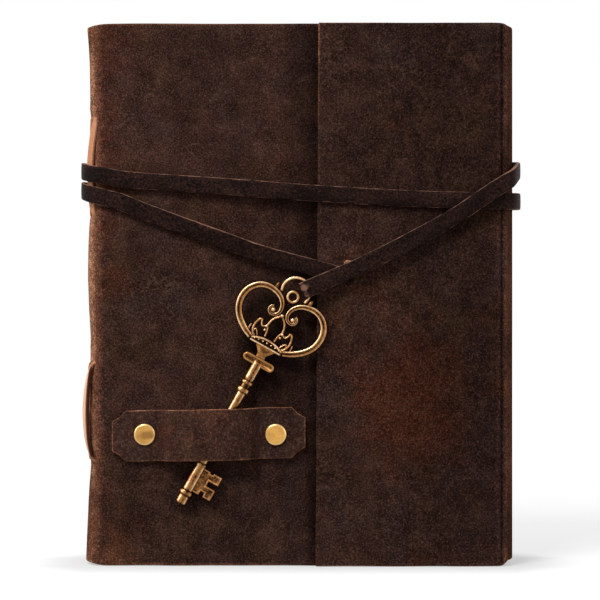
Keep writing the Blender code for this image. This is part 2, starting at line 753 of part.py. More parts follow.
def make_key():
    """The key: a turned shank with a cut bit, and a bow of scrolls, crown, ring and arc."""
    top = BAR_T
    profile = [(0.0, top), (NECK_R, top), (NECK_R, UPPER_BEAD_T + UPPER_BEAD_LENGTH)]
    profile += bead(UPPER_BEAD_T, UPPER_BEAD_LENGTH, UPPER_BEAD_R, SHANK_R)
    profile += bead(LOWER_BEAD_T, LOWER_BEAD_LENGTH, LOWER_BEAD_R, SHANK_R)
    collar_top = TIP_LENGTH + COLLAR_LENGTH
    profile += [(SHANK_R, BARREL_TOP + 0.4), (BARREL_R, BARREL_TOP), (BARREL_R, collar_top + 0.2)]
    profile += bead(TIP_LENGTH + COLLAR_LENGTH / 2, COLLAR_LENGTH, COLLAR_R, BARREL_R)
    profile += [(TIP_R, TIP_LENGTH - 0.2), (TIP_R, 0.4), (TIP_R - 0.4, 0.0), (0.0, 0.0)]
    key = part(turned("key", profile, steps=16), "key", KEY_FRAME, local=True)

    pieces = []
    deep = (BIT_TOP - BIT_BOTTOM) * 0.2
    slot, mid = BIT_REACH * 0.42, (BIT_TOP + BIT_BOTTOM) / 2 + 0.4
    bit = [
        (BARREL_R * 0.4, BIT_BOTTOM),
        (BIT_REACH * 0.48, BIT_BOTTOM),
        (BIT_REACH * 0.48, BIT_BOTTOM + deep * 0.9),
        (BIT_REACH * 0.65, BIT_BOTTOM + deep * 0.9),
        (BIT_REACH * 0.65, BIT_BOTTOM),
        (BIT_REACH, BIT_BOTTOM),
        (BIT_REACH, mid - deep / 2),
        (BIT_REACH - slot, mid - deep / 2),
        (BIT_REACH - slot, mid + deep / 2),
        (BIT_REACH, mid + deep / 2),
        (BIT_REACH, BIT_TOP),
        (BIT_REACH * 0.62, BIT_TOP),
        (BIT_REACH * 0.62, BIT_TOP - deep * 0.35),
        (BIT_REACH * 0.48, BIT_TOP - deep * 0.35),
        (BIT_REACH * 0.48, BIT_TOP),
        (BARREL_R * 0.4, BIT_TOP),
    ]
    pieces.append(outline("key_bit", bit, -BIT_THICK / 2, BIT_THICK / 2, upright=True))

    half = Vector((BAR_LENGTH, BAR_DEPTH, BAR_HEIGHT)) / 2
    middle = Vector((0.0, 0.0, BAR_T))
    bar = box("key_bar", middle - half, middle + half)
    bevel = bar.modifiers.new("round", "BEVEL")
    bevel.width = 0.28 * BAR_DEPTH * MM
    bevel.segments = 2
    pieces.append(bar)

    rise = FLARE_TOP - BAR_T
    flare = [(FLARE_R, FLARE_TOP + BAND_RISE), (FLARE_R, FLARE_TOP)]
    waist = NECK_R + 0.3
    for i in range(1, 7):
        flare.append((waist + (FLARE_R - waist) * (1 - i / 6) ** 2, FLARE_TOP - rise * i / 6))
    neck = turned("key_flare", [(0.0, FLARE_TOP + BAND_RISE), *flare, (0.0, BAR_T)], steps=16)
    neck.scale = (1.0, FLARE_FLAT, 1.0)
    pieces.append(neck)

    band = []
    for i in range(13):
        u = -1 + i / 6
        band.append((BAND_HALF * u, BAND_T + BAND_RISE * (1 - u * u)))
    pieces.append(wire("key_band", [(x, z, 1.15) for x, z in band]))
    pieces.append(wire("key_band_edge", [(x * 0.97, z + 1.25, 0.6) for x, z in band]))

    half, low = LOBE_HALF, LOBE_T
    scroll = [
        (0.32 * half, low - 11.2, 1.1),
        (0.65 * half, low - 9.2, 1.15),
        (0.92 * half, low - 4.8, LOBE_WIRE),
        (half, low + 0.2, LOBE_WIRE),
        (0.90 * half, low + 5.0, 1.2),
        (0.70 * half, low + 8.0, 1.1),
        (0.50 * half, low + 8.8, 1.0),
        (0.285 * half, low + 7.4, 0.85),
        (0.142 * half, low + 5.0, 0.7),
        (0.09 * half, low + 2.5, 0.6),
        (0.125 * half, low + 0.6, 0.55),
        (0.20 * half, low + 0.15, 0.6),
        (0.255 * half, low + 0.9, 0.95),
        (0.258 * half, low + 1.5, 0.7),
    ]
    base, wing = BAND_T, BAND_HALF
    leaf = [
        (0.44 * wing, base + 1.0, 0.55),
        (0.50 * wing, base + 3.6, 0.55),
        (0.456 * wing, base + 6.4, 0.55),
        (0.28 * wing, low - 1.6, 0.55),
        (0.044 * wing, low + 0.8, 0.55),
    ]
    point = [
        (0.926 * wing, base + 0.4, 0.6),
        (1.074 * wing, base + 3.2, 0.6),
        (0.97 * wing, base + 6.0, 0.75),
        (0.765 * wing, base + 5.8, 0.55),
        (0.603 * wing, base + 4.4, 0.55),
        (0.47 * wing, base + 4.0, 0.5),
    ]
    nub = [(0.463 * half, low + 8.9, 0.85), (0.444 * half, low + 11.3, 0.85)]
    shapes = (("scroll", scroll, 4, 2), ("leaf", leaf, 3, 1), ("point", point, 3, 1), ("nub", nub, 1, 1))
    for label, points, fine, rings in shapes:
        line = smooth_line(points, fine)
        pieces.append(wire(f"key_{label}_right", line, rings=rings))
        pieces.append(wire(f"key_{label}_left", mirrored(line), rings=rings))

    ring = []
    for i in range(20):
        a = math.tau * i / 20
        ring.append((RING_R * math.cos(a), RING_T + RING_R * math.sin(a), RING_WIRE))
    pieces.append(wire("key_ring", ring, closed=True, rings=1))
    pieces.append(wire("key_ring_stem", [(0.0, RING_T - RING_R, 0.6), (0.0, low + 4.4, 0.7)]))
    pieces.append(wire("key_scroll_tie", [(-0.16 * half, low + 4.6, 0.6), (0.16 * half, low + 4.6, 0.6)]))
    tops = [(0.0, low + 0.2, 0.8), (0.0, low + 1.0, 1.05), (0.0, low + 1.8, 0.9)]
    pieces.append(wire("key_crown_top", tops))
    arc = []
    for i in range(19):
        a = math.radians(-24 + 228 * i / 18)
        arc.append((ARC_R * math.cos(a), ARC_T + ARC_R * math.sin(a), ARC_WIRE))
    pieces.append(wire("key_arc", arc))

    for piece in pieces:
        piece.matrix_basis = Matrix.Diagonal((*piece.scale, 1.0))
        boolean(key, cutter(piece, KEY_FRAME, local=True), "UNION")


def key_point(u, t, out=0.0):
    """A point of the book frame from the key's own across, along and outward distances."""
    at = FRAMES["key_slide"] @ (Vector((u, -out, t)) * MM)
    return at / MM


def make_lace():
    """One flat lace from the flap's slit, twice round the book, to the key's arc."""
    up = Vector((0.0, 0.0, 1.0))
    on_flap = FLAP_OUT - CLEAR - LACE_THICK / 2
    over = on_flap - LACE_THICK - LACE_OVER
    at_spine = -(STRAIGHT + LACE_ROUND)
    route = []

    def add(x, y, z, hint=up):
        route.append((x, y, z, *hint))

    def turn_left(z_front, z_back):
        rise = z_back - z_front
        add(HINGE_X + LACE_LEAD, at_spine, z_front - 0.2 * rise)
        for i in range(11):
            z = z_back - rise * (1 - i / 10) ** 1.5
            if i <= 5:
                a = math.radians(-90 - 90 * i / 5)
                add(HINGE_X + LACE_ROUND * math.cos(a), -STRAIGHT + LACE_ROUND * math.sin(a), z)
            else:
                a = math.radians(180 - 90 * (i - 5) / 5)
                add(HINGE_X + LACE_ROUND * math.cos(a), STRAIGHT + LACE_ROUND * math.sin(a), z)
        add(HINGE_X + LACE_LEAD, -at_spine, z_back)

    def turn_right(heights, front_y):
        far = LACE_FAR
        depth = HALF + CLEAR + LACE_THICK / 2
        places = (
            (FORE_X - 3 * LACE_LEAD, depth + 0.3),
            (FORE_X - 6.0, depth + 0.3),
            (FORE_X + 1.5, depth - 0.3),
            (far - 2.6, 0.72 * depth),
            (far - 0.3, 0.3 * depth),
            (far, -0.2 * depth),
            (far - 0.9, -0.72 * depth),
            (FORE_X + 3.0, front_y + 1.2),
            (FORE_X - 3.5, front_y),
        )
        for (x, y), z in zip(places, heights):
            add(x, y, z)

    slope = math.radians(SLIT_TURN)
    hint = Vector((math.sin(slope), 0.0, math.cos(slope)))
    back = Vector((-math.cos(slope), 0.0, math.sin(slope)))
    slit = Vector((SLIT_X, 0.0, SLIT_Z))
    bend = -FLAP_OUT + on_flap
    through = (
        (0.0, FLAP_IN - 0.1),
        (0.0, FLAP_OUT + 0.35),
        (0.32, FLAP_OUT + 0.75 * bend),
        (1.2, on_flap),
        (4.0, on_flap),
    )
    for run, y in through:
        p = slit + back * run
        add(p.x, y, p.z, hint)
    lean = Vector((0.0, -0.22, 1.0))
    halfway = 0.5 * (on_flap + at_spine)
    depths = (on_flap - 0.1, on_flap - 0.1, halfway - 0.3, at_spine - 0.1)
    for (x, z), y, hint in zip(LACE_FIRST, depths, (up, lean, lean, up)):
        add(x, y, z, hint)
    for lap in range(2):
        turn_left(*LACE_SPINE_Z[lap])
        for (x, z), y in zip(LACE_BACK[lap], (-at_spine, -at_spine - 0.4)):
            add(x, y, z)
        turn_right(LACE_FOLD_Z[lap], (on_flap, over)[lap])
        if lap == 0:
            for (x, z), y in zip(LACE_SECOND, (on_flap, on_flap - 0.1, on_flap - 0.05, halfway)):
                add(x, y, z)
    for (x, z), y, hint in zip(LACE_THIRD, (over, over - 0.1, over - 0.2), (up, lean, lean)):
        add(x, y, z, hint)

    turn = math.radians(LACE_LOOP_AT)
    spot = key_point(ARC_R * math.sin(turn), ARC_T + ARC_R * math.cos(turn))
    way = Vector((LACE_THIRD[-1][0], 0.0, LACE_THIRD[-1][1])) - Vector((spot.x, 0.0, spot.z))
    way.normalize()
    wide = Vector((-way.z, 0.0, way.x))
    loop = ARC_WIRE + 1.5 * CLEAR + LACE_THICK / 2
    inside = loop + CLEAR + (LACE_WIDTH / 2) ** 2 / (2 * ARC_R)
    p = spot + way * 8.0
    add(p.x, over - 0.3, p.z, wide)
    for i in range(9):
        a = math.radians(-70 + 230 * i / 8)
        p = spot - way * inside * math.sin(a)
        add(p.x, spot.y - loop * math.cos(a), p.z, wide)
    p = spot + way * LACE_TAIL
    add(p.x, spot.y + loop, p.z, wide)

    stations, length = lace_stations(route, LACE_STEP)
    part(ribbon("tie_lace", stations, LACE_THICK), "lace", JOURNAL)
    gap = least_gap(stations, LACE_THICK, 2 * LACE_WIDTH)
    print(f"lace length {length:.0f} mm, least gap to itself {gap:.2f} mm")


def main():
    make_hide()
    make_paper()
    make_thongs()
    make_keeper()
    make_key()
    make_lace()
    middle = Vector(((BASE_LEFT + BASE_RIGHT) / 2, (BASE_FRONT + BASE_BACK) / 2, 0.0))
    JOURNAL.location = -middle * MM
    for obj in PARTS.objects:
        if obj.type == "MESH":
            obj.data.shade_smooth()
            obj.data.set_sharp_from_angle(angle=math.radians(35))


main()
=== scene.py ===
# %% [markdown]
# # A leather tie journal
#
# This lesson dresses a journal of oiled leather that stands on its tail edge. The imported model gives
# the frame: where each panel is and what turns about what. Each soft piece is then made again with
# its real thickness, rounding and finish, and rides on the body that carries it.
#
# All sizes are millimetres in the book's own frame, where Y = 0 is the middle of the book's
# thickness, X runs from the spine to the fore edge and Z is up. One function, `at`, turns such a
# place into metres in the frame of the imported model.

# %% The frame and the sizes that the pieces share
import json
import math

import bmesh
import bpy
import numpy as np
from mathutils import Matrix, Vector, noise
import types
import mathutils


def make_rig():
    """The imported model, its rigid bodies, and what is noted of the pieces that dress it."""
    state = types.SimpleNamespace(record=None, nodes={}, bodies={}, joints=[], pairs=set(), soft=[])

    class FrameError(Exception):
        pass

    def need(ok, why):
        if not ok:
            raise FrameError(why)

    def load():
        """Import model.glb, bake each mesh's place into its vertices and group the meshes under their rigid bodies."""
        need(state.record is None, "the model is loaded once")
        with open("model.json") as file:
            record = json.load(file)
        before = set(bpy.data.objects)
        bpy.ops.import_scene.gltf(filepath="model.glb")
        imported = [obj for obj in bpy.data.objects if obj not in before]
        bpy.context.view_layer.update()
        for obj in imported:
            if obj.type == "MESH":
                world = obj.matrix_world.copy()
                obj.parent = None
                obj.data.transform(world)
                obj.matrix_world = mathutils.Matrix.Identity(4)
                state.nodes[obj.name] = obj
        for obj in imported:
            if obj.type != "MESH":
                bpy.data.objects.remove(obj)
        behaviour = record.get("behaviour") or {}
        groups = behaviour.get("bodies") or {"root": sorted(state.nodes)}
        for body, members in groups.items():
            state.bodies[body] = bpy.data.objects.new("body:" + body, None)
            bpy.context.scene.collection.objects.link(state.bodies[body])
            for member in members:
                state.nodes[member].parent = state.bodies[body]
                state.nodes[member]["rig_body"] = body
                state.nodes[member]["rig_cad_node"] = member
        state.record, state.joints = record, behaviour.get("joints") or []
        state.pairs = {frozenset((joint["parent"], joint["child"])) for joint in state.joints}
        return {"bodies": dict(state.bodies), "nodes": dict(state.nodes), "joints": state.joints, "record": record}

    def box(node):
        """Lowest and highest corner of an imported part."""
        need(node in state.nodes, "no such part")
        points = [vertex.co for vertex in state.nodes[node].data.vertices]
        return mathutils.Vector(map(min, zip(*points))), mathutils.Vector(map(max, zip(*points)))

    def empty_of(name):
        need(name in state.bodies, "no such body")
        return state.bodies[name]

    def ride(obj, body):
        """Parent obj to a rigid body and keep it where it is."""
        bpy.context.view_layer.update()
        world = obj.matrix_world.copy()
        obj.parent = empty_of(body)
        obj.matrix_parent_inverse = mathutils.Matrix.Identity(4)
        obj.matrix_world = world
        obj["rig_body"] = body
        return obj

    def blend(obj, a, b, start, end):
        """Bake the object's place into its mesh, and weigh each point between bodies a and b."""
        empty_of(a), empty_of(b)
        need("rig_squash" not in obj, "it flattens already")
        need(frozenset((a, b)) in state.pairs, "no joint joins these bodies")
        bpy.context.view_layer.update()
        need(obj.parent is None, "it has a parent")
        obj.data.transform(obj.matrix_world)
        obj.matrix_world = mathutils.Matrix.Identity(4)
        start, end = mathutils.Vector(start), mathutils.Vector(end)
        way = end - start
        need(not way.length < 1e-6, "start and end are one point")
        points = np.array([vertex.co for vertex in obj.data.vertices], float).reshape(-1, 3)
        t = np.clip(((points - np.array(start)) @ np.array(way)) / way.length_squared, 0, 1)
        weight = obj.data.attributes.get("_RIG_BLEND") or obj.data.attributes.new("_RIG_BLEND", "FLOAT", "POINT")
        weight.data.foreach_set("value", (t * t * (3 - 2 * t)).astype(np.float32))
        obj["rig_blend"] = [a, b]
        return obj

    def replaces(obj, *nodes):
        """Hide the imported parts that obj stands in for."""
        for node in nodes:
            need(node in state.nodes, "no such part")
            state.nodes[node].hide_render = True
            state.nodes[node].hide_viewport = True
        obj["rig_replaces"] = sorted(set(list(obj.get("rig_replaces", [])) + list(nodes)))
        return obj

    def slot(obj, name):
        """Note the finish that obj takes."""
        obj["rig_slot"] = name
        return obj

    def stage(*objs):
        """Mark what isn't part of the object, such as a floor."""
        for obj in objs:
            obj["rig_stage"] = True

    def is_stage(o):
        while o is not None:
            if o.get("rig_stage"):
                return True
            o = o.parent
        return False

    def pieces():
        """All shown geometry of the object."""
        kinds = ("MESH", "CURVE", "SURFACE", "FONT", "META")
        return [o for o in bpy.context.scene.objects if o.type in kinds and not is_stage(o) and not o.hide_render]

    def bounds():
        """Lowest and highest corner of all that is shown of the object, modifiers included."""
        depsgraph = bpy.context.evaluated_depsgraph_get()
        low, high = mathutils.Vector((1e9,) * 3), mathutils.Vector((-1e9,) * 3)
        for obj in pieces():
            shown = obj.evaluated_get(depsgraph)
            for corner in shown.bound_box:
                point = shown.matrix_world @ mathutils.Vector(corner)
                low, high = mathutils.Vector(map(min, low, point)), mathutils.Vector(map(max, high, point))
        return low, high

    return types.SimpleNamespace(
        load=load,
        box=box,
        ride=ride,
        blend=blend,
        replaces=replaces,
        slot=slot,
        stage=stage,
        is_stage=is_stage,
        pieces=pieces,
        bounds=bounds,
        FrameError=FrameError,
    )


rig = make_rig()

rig.load()
CAD_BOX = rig.bounds()

MM = 0.001
HALF = 14.0
LEATHER = 2.0
HIDE_HEIGHT = 200.0
SPINE_ROUND = 9.0
HINGE_X = -70.4
STRAIGHT = HALF - SPINE_ROUND
FORE_X = 74.35
COVER_EDGE = 70.35
FLAP_IN = -14.3
FLAP_OUT = -16.3
CLEAR = 0.3
SHIFT_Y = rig.box("back_cover")[1].y / MM - HALF


def at(x, y, z):
    return Vector((x, y + SHIFT_Y, z)) * MM


print("the book's middle lies", round(SHIFT_Y, 3), "mm behind the origin")

# %% [markdown]
# ## The camera
#
# The journal is seen square on, from its own middle height, with little perspective. A pixel is
# 0.3685 mm on the front plane, so the frame is 600 times that. The lens follows from the distance.

# %% Camera
PIXEL = 0.3685
FRAME_PIXELS = 600
VIEW_DISTANCE = 830.0
FRONT_PLANE = -15.0
BASE_ROW = 565.9
SENSOR = 36.0

camera = bpy.data.objects.new("camera", bpy.data.cameras.new("camera"))
bpy.context.scene.collection.objects.link(camera)
camera.data.sensor_width = SENSOR
camera.data.lens = SENSOR * VIEW_DISTANCE / (PIXEL * FRAME_PIXELS)
eye_height = (BASE_ROW - FRAME_PIXELS / 2) * PIXEL
camera.location = at(0.0, FRONT_PLANE - VIEW_DISTANCE, eye_height)
camera.rotation_euler = (math.pi / 2, 0.0, 0.0)
bpy.context.scene.camera = camera
print("lens", round(camera.data.lens, 1), "mm")

# %% [markdown]
# ## Smooth lines
#
# Leather bends in smooth lines: the lace, the spine's round, the fold. A line through a few known
# points is weighed by the root of each span's length, so that it doesn't swing past a corner. The
# sizes past the first ones, such as a tilt or a radius, are carried along.


# %% A smooth line through points, and a line that can be asked for a place
def smooth_line(points, per_span, axes):
    """Points on a smooth line, per_span of them on each span."""
    first = [2 * p - q for p, q in zip(points[0], points[1])]
    last = [2 * p - q for p, q in zip(points[-1], points[-2])]
    ends = np.array([first, *points, last], float)
    weigh = np.sqrt(np.linalg.norm(np.diff(ends[:, :axes], axis=0), axis=1))
    share = np.linspace(0.0, 1.0, per_span, endpoint=False)[:, None]
    line = []
    for i in range(len(points) - 1):
        a, b, c, d = ends[i : i + 4]
        h, m, n = weigh[i : i + 3]
        mid = (c - b) / m
        leave = m * ((b - a) / h - (c - a) / (h + m) + mid)
        reach = m * (mid - (d - b) / (m + n) + (d - c) / n)
        held = (2 * share**3 - 3 * share**2 + 1) * b + (3 * share**2 - 2 * share**3) * c
        bent = (share**3 - 2 * share**2 + share) * leave + (share**3 - share**2) * reach
        line.append(held + bent)
    return np.vstack([*line, ends[-2][None, :]])


class Line:
    """A line of points that gives its values at any distance along it."""

    def __init__(self, points, axes):
        self.points = np.array(points, float)
        self.axes = axes
        runs = np.linalg.norm(np.diff(self.points[:, :axes], axis=0), axis=1)
        self.along = np.concatenate([[0.0], np.cumsum(runs)])
        self.length = float(self.along[-1])

    def __call__(self, s):
        return np.array([np.interp(s, self.along, column) for column in self.points.T])

    def way(self, s, reach=0.4):
        step = (self(min(self.length, s + reach)) - self(max(0.0, s - reach)))[: self.axes]
        return step / max(1e-9, np.linalg.norm(step))

    def nearest(self, *place):
        gaps = np.linalg.norm(self.points[:, : self.axes] - np.array(place), axis=1)
        return float(self.along[int(np.argmin(gaps))])


def ease(u):
    """A soft step from 0 to 1."""
    u = min(1.0, max(0.0, u))
    return u * u * (3 - 2 * u)


def hump(u, width):
    """1 in the middle, falling to nearly 0 at twice the width."""
    return math.exp(-((u / width) ** 2))


def grain(scale, *place):
    """A smooth random value between about -1 and 1 that is the same on every run."""
    return noise.noise(Vector(place) / scale)


def arc(x, y, radius, first, last, count):
    """Points of an arc between two angles in degrees."""
    steps = np.radians(np.linspace(first, last, count))
    return [(x + radius * math.cos(a), y + radius * math.sin(a)) for a in steps]


# %% [markdown]
# ## Sheets and strips
#
# Nearly every soft piece here is a sheet or a strip. A sheet starts as a grid, whose lines lie closer
# together at its edges, and a function says where each crossing of the grid goes. Solidify gives the
# thickness and a bevel takes the sharpness off the cut edges, but not off a seam where two sheets of
# one hide meet. Behind narrow dents and tight bends the inner face is smoothed. A strip is a grid
# that is rolled round a flat outline with rounded edges and merged along its seam, because its two
# long edges need a finish of their own.
#
# Each crossing also keeps two values that the finishes read: how worn the leather is there, with
# painted light added and below 0 for painted shade, and whether it is on the flesh side.


# %% Grids and what they keep
EDGE_LEAD = (0.0, 0.7, 1.4, 2.6)


def grid_lines(low, high, size, fine_low=True, fine_high=True, lead=EDGE_LEAD):
    """Lines across a sheet, about a size apart and closer together at a fine edge."""
    first = [low + d for d in lead] if fine_low else [low]
    last = [high - d for d in lead[::-1]] if fine_high else [high]
    run = last[0] - first[-1]
    count = max(1, round(run / size))
    return first + [first[-1] + run * i / count for i in range(1, count)] + last


def layer(bm, name):
    return bm.verts.layers.float.get(name) or bm.verts.layers.float.new(name)


def flat_map(bm):
    return bm.loops.layers.uv.get("flat") or bm.loops.layers.uv.new("flat")


def new_grid(bm, columns, rows):
    """The vertices of a new grid, each with the numbers of its column and its row."""
    made = bmesh.ops.create_grid(bm, x_segments=columns - 1, y_segments=rows - 1, size=1.0)
    verts = sorted(made["verts"], key=lambda v: (round(v.co.y, 6), v.co.x))
    return [(vert, n % columns, n // columns) for n, vert in enumerate(verts)]


def keep_flat(flat, spot):
    """Give the corners of a new grid's faces their spots on the flat map."""
    for face in {f for vert in spot for f in vert.link_faces}:
        for loop in face.loops:
            loop[flat].uv = spot[loop.vert]


def round_off(bm, edges, rounding):
    bmesh.ops.bevel(
        bm,
        geom=edges,
        offset=rounding,
        offset_type="OFFSET",
        affect="EDGES",
        segments=2,
        profile=0.5,
        material=-1,
        clamp_overlap=True,
    )


def show(name, bm, material, sharp=60.0):
    """A finished bmesh as a smooth-shaded piece in the scene."""
    mesh = bpy.data.meshes.new(name)
    bm.to_mesh(mesh)
    bm.free()
    mesh.materials.append(material)
    mesh.shade_smooth()
    mesh.set_sharp_from_angle(angle=math.radians(sharp))
    piece = bpy.data.objects.new(name, mesh)
    bpy.context.scene.collection.objects.link(piece)
    return piece


# %% Sheets with thickness
def lay_grid(bm, columns, rows, place, wear_and_light_of, seam_of):
    wear, seam, flat = layer(bm, "wear"), layer(bm, "seam"), flat_map(bm)
    spot = {}
    for vert, i, j in new_grid(bm, len(columns), len(rows)):
        u, v = columns[i], rows[j]
        spot[vert] = (u * MM, v * MM)
        vert.co = place(u, v)
        vert[wear] = wear_and_light_of(u, v)
        vert[seam] = seam_of(u, v)
    keep_flat(flat, spot)


def sheet(name, grids, thick, rounding, material, seam_of=lambda u, v: 0.0, flip=False, soften=0):
    """A sheet from grids of columns, rows, place, and wear with painted light, laid out on its outer face."""
    bm = bmesh.new()
    flesh = layer(bm, "flesh")
    for columns, rows, place, wear_and_light_of in grids:
        lay_grid(bm, columns, rows, place, wear_and_light_of, seam_of)
    if flip:
        bmesh.ops.reverse_faces(bm, faces=bm.faces)
    bm.normal_update()
    made = bmesh.ops.solidify(bm, geom=bm.faces[:], thickness=thick * MM)
    inner = [v for v in made["geom"] if isinstance(v, bmesh.types.BMVert)]
    for vert in inner:
        vert[flesh] = 1.0
    rim = {f for f in bm.faces if 0.0 < sum(v[flesh] for v in f.verts) < len(f.verts)}
    inside = [v for v in inner if rim.isdisjoint(v.link_faces)]
    for _ in range(soften):
        bmesh.ops.smooth_vert(
            bm, verts=inside, factor=0.5, use_axis_x=True, use_axis_y=True, use_axis_z=True
        )
    bm.normal_update()
    seam = layer(bm, "seam")
    cut = [e for e in bm.edges if e.calc_face_angle(0.0) > 1.0 and not rim.isdisjoint(e.link_faces)]
    round_off(bm, [e for e in cut if min(v[seam] for v in e.verts) < 0.5], rounding * MM)
    return show(name, bm, material)


# %% Strips with rounded edges
def strip_outline(width, thick, rounding, crown=0.0):
    """Across, out and how much of a raw edge each point of a strip's outline is."""
    half, face = width / 2, thick / 2
    reach = half - rounding
    top = [(u * reach, face + crown * (1 - u * u), 0.0) for u in (-1.0, -0.55, 0.0, 0.55, 1.0)]
    corner = []
    for a in np.radians((65.0, 35.0, 0.0)):
        corner.append((reach + rounding * math.cos(a), face - rounding * (1 - math.sin(a)), math.cos(a)))
    half_way = top + corner + [(u, -h, raw) for u, h, raw in reversed(corner)]
    return half_way + [(-u, -h, raw) for u, h, raw in half_way]


def strip(name, outline, rows, place, wear_and_light_of, material):
    """A strip rolled round an outline: place(u, out, s) and wear_and_light_of(u, raw, s)."""
    bm = bmesh.new()
    wear, flat = layer(bm, "wear"), flat_map(bm)
    sides = len(outline)
    spot = {}
    for vert, j, i in new_grid(bm, sides + 1, len(rows)):
        u, out, raw = outline[j % sides]
        s = rows[i]
        spot[vert] = (u * MM, s * MM)
        vert.co = place(u, out, s)
        vert[wear] = wear_and_light_of(u, raw, s)
    keep_flat(flat, spot)
    bmesh.ops.remove_doubles(bm, verts=bm.verts, dist=1e-7)
    bmesh.ops.holes_fill(bm, edges=[e for e in bm.edges if e.is_boundary], sides=0)
    bmesh.ops.recalc_face_normals(bm, faces=bm.faces)
    return show(name, bm, material, sharp=70.0)


# %% [markdown]
# ## Writing finishes
#
# A finish is a tree of shader nodes. Linking each node by hand would hide what the finish does, so one
# class wraps a socket, and sums on values are written as sums. A second class makes the nodes. Colours
# are mixed with Mix nodes and scaled with Vector Math.


# %% Wires: sockets that can be summed
class Wire:
    """A socket of a finish. Sums on it add Math nodes."""

    def __init__(self, finish, socket):
        self.finish = finish
        self.socket = socket

    def math(self, operation, other=0.0, swap=False):
        pair = (other, self) if swap else (self, other)
        return self.finish.node("Math", {"operation": operation}, {0: pair[0], 1: pair[1]})

    def __add__(self, other):
        return self.math("ADD", other)

    def __sub__(self, other):
        return self.math("SUBTRACT", other)

    def __mul__(self, other):
        return self.math("MULTIPLY", other)

    def __rsub__(self, other):
        return self.math("SUBTRACT", other, swap=True)

    __radd__ = __add__
    __rmul__ = __mul__

    def most(self, other):
        return self.math("MAXIMUM", other)

    def size(self):
        return self.math("ABSOLUTE")

    def band(self, low, high):
        """0 at low, 1 at high and a soft step between them. High may be below low."""
        settings = {"interpolation_type": "SMOOTHSTEP"}
        values = {"Value": self, "From Min": min(low, high), "From Max": max(low, high)}
        step = self.finish.node("MapRange", settings, values)
        return 1 - step if high < low else step


# %% Finishes: materials, and the world, written with wires
class Finish:
    """A material, or the world, that is written as sums on wires."""

    def __init__(self, owner):
        owner.use_nodes = True
        self.owner = owner
        self.nodes = owner.node_tree.nodes
        self.links = owner.node_tree.links
        self.shader = self.nodes.get("Principled BSDF") or self.nodes["Background"]

    def feed(self, socket, value):
        if isinstance(value, Wire):
            self.links.new(value.socket, socket)
        elif hasattr(socket.default_value, "__len__") and len(socket.default_value) == 4:
            socket.default_value = (*value, 1.0)
        else:
            socket.default_value = value

    def node(self, kind, settings=None, values=None, out=0):
        node = self.nodes.new("ShaderNode" + kind)
        for key, value in (settings or {}).items():
            setattr(node, key, value)
        for key, value in (values or {}).items():
            self.feed(node.inputs[key], value)
        return Wire(self, node.outputs[out])

    def place(self, stretch=(1.0, 1.0, 1.0), shift=(0.0, 0.0, 0.0)):
        """Object coordinates in metres, stretched and shifted."""
        spot = self.node("TexCoord", out="Object")
        return self.node("Mapping", {}, {"Vector": spot, "Scale": stretch, "Location": shift})

    def flat(self, stretch=(1.0, 1.0, 1.0)):
        """The piece's own flat map in metres."""
        spot = self.node("UVMap", {"uv_map": "flat"})
        return self.node("Mapping", {}, {"Vector": spot, "Scale": stretch})

    def kept(self, name):
        """A value that each point of the piece keeps."""
        return self.node("Attribute", {"attribute_name": name}, out="Fac")

    def cloud(self, spot, size, detail=3.0, rough=0.55):
        """Noise with spots of about the given size in millimetres."""
        values = {"Vector": spot, "Scale": 1.0 / (size * MM), "Detail": detail, "Roughness": rough}
        return self.node("TexNoise", {}, values)

    def crackle(self, spot, size, width):
        """Thin lines between cells of about the given size in millimetres."""
        settings = {"feature": "DISTANCE_TO_EDGE"}
        values = {"Vector": spot, "Scale": 1.0 / (size * MM)}
        return self.node("TexVoronoi", settings, values).band(width, 0.0)

    def mix(self, first, second, share):
        settings = {"data_type": "RGBA"}
        return self.node("Mix", settings, {0: share, 6: first, 7: second}, out=2)

    def shade(self, colour, value):
        """A colour made darker or lighter by a value about 1."""
        return self.node("VectorMath", {"operation": "SCALE"}, {0: colour, "Scale": value})

    def push(self, spot, size, reach):
        """A place that noise has pushed about, for crooked lines."""
        values = {"Vector": spot, "Scale": 1.0 / (size * MM), "Detail": 2.0}
        drift = self.node("TexNoise", {}, values, out=1)
        drift = self.node("VectorMath", {"operation": "SCALE"}, {0: drift, "Scale": reach * MM})
        return self.node("VectorMath", {"operation": "ADD"}, {0: spot, 1: drift})

    def bump(self, height, depth, strength=1.0):
        values = {"Height": height, "Distance": depth * MM, "Strength": strength}
        return self.node("Bump", {}, values)

    def set(self, **values):
        for key, value in values.items():
            self.feed(self.shader.inputs[key.replace("_", " ")], value)
        return self.owner

    def seen(self):
        """1 for rays from the camera, a reflection or a clear piece, and 0 for soft light."""
        kinds = ("Is Camera Ray", "Is Glossy Ray", "Is Transmission Ray")
        first, second, third = [self.node("LightPath", out=kind) for kind in kinds]
        return first.most(second).most(third)


def new_finish(name):
    return Finish(bpy.data.materials.new(name))


# %% [markdown]
# ## Oiled leather
#
# The hide is dark brown leather with oil and wax in it. Close up it is never one colour: broad clouds
# of lighter and redder brown, a fine pale speckle where the grain has rubbed, dark pores, and a net
# of hairline cracks. Where it bends or is handled the wax moves away and the brown turns to orange.
# The flesh side is plain suede. A painted image would fit one sheet only, so layers of noise make it.

# %% The hide's finish
DEEP_BROWN = (0.0300, 0.0142, 0.0112)
MID_BROWN = (0.0530, 0.0242, 0.0180)
RED_BROWN = (0.0720, 0.0215, 0.0110)
COOL_BROWN = (0.0420, 0.0245, 0.0215)
OLIVE_BROWN = (0.0500, 0.0265, 0.0150)
WORN_AND_LIT_BROWN = (0.1650, 0.0660, 0.0370)
WORN_AND_LIT_ORANGE = (0.4200, 0.2000, 0.1150)
HAIRLINE = (0.1700, 0.0900, 0.0600)
SUEDE = (0.1150, 0.0560, 0.0330)


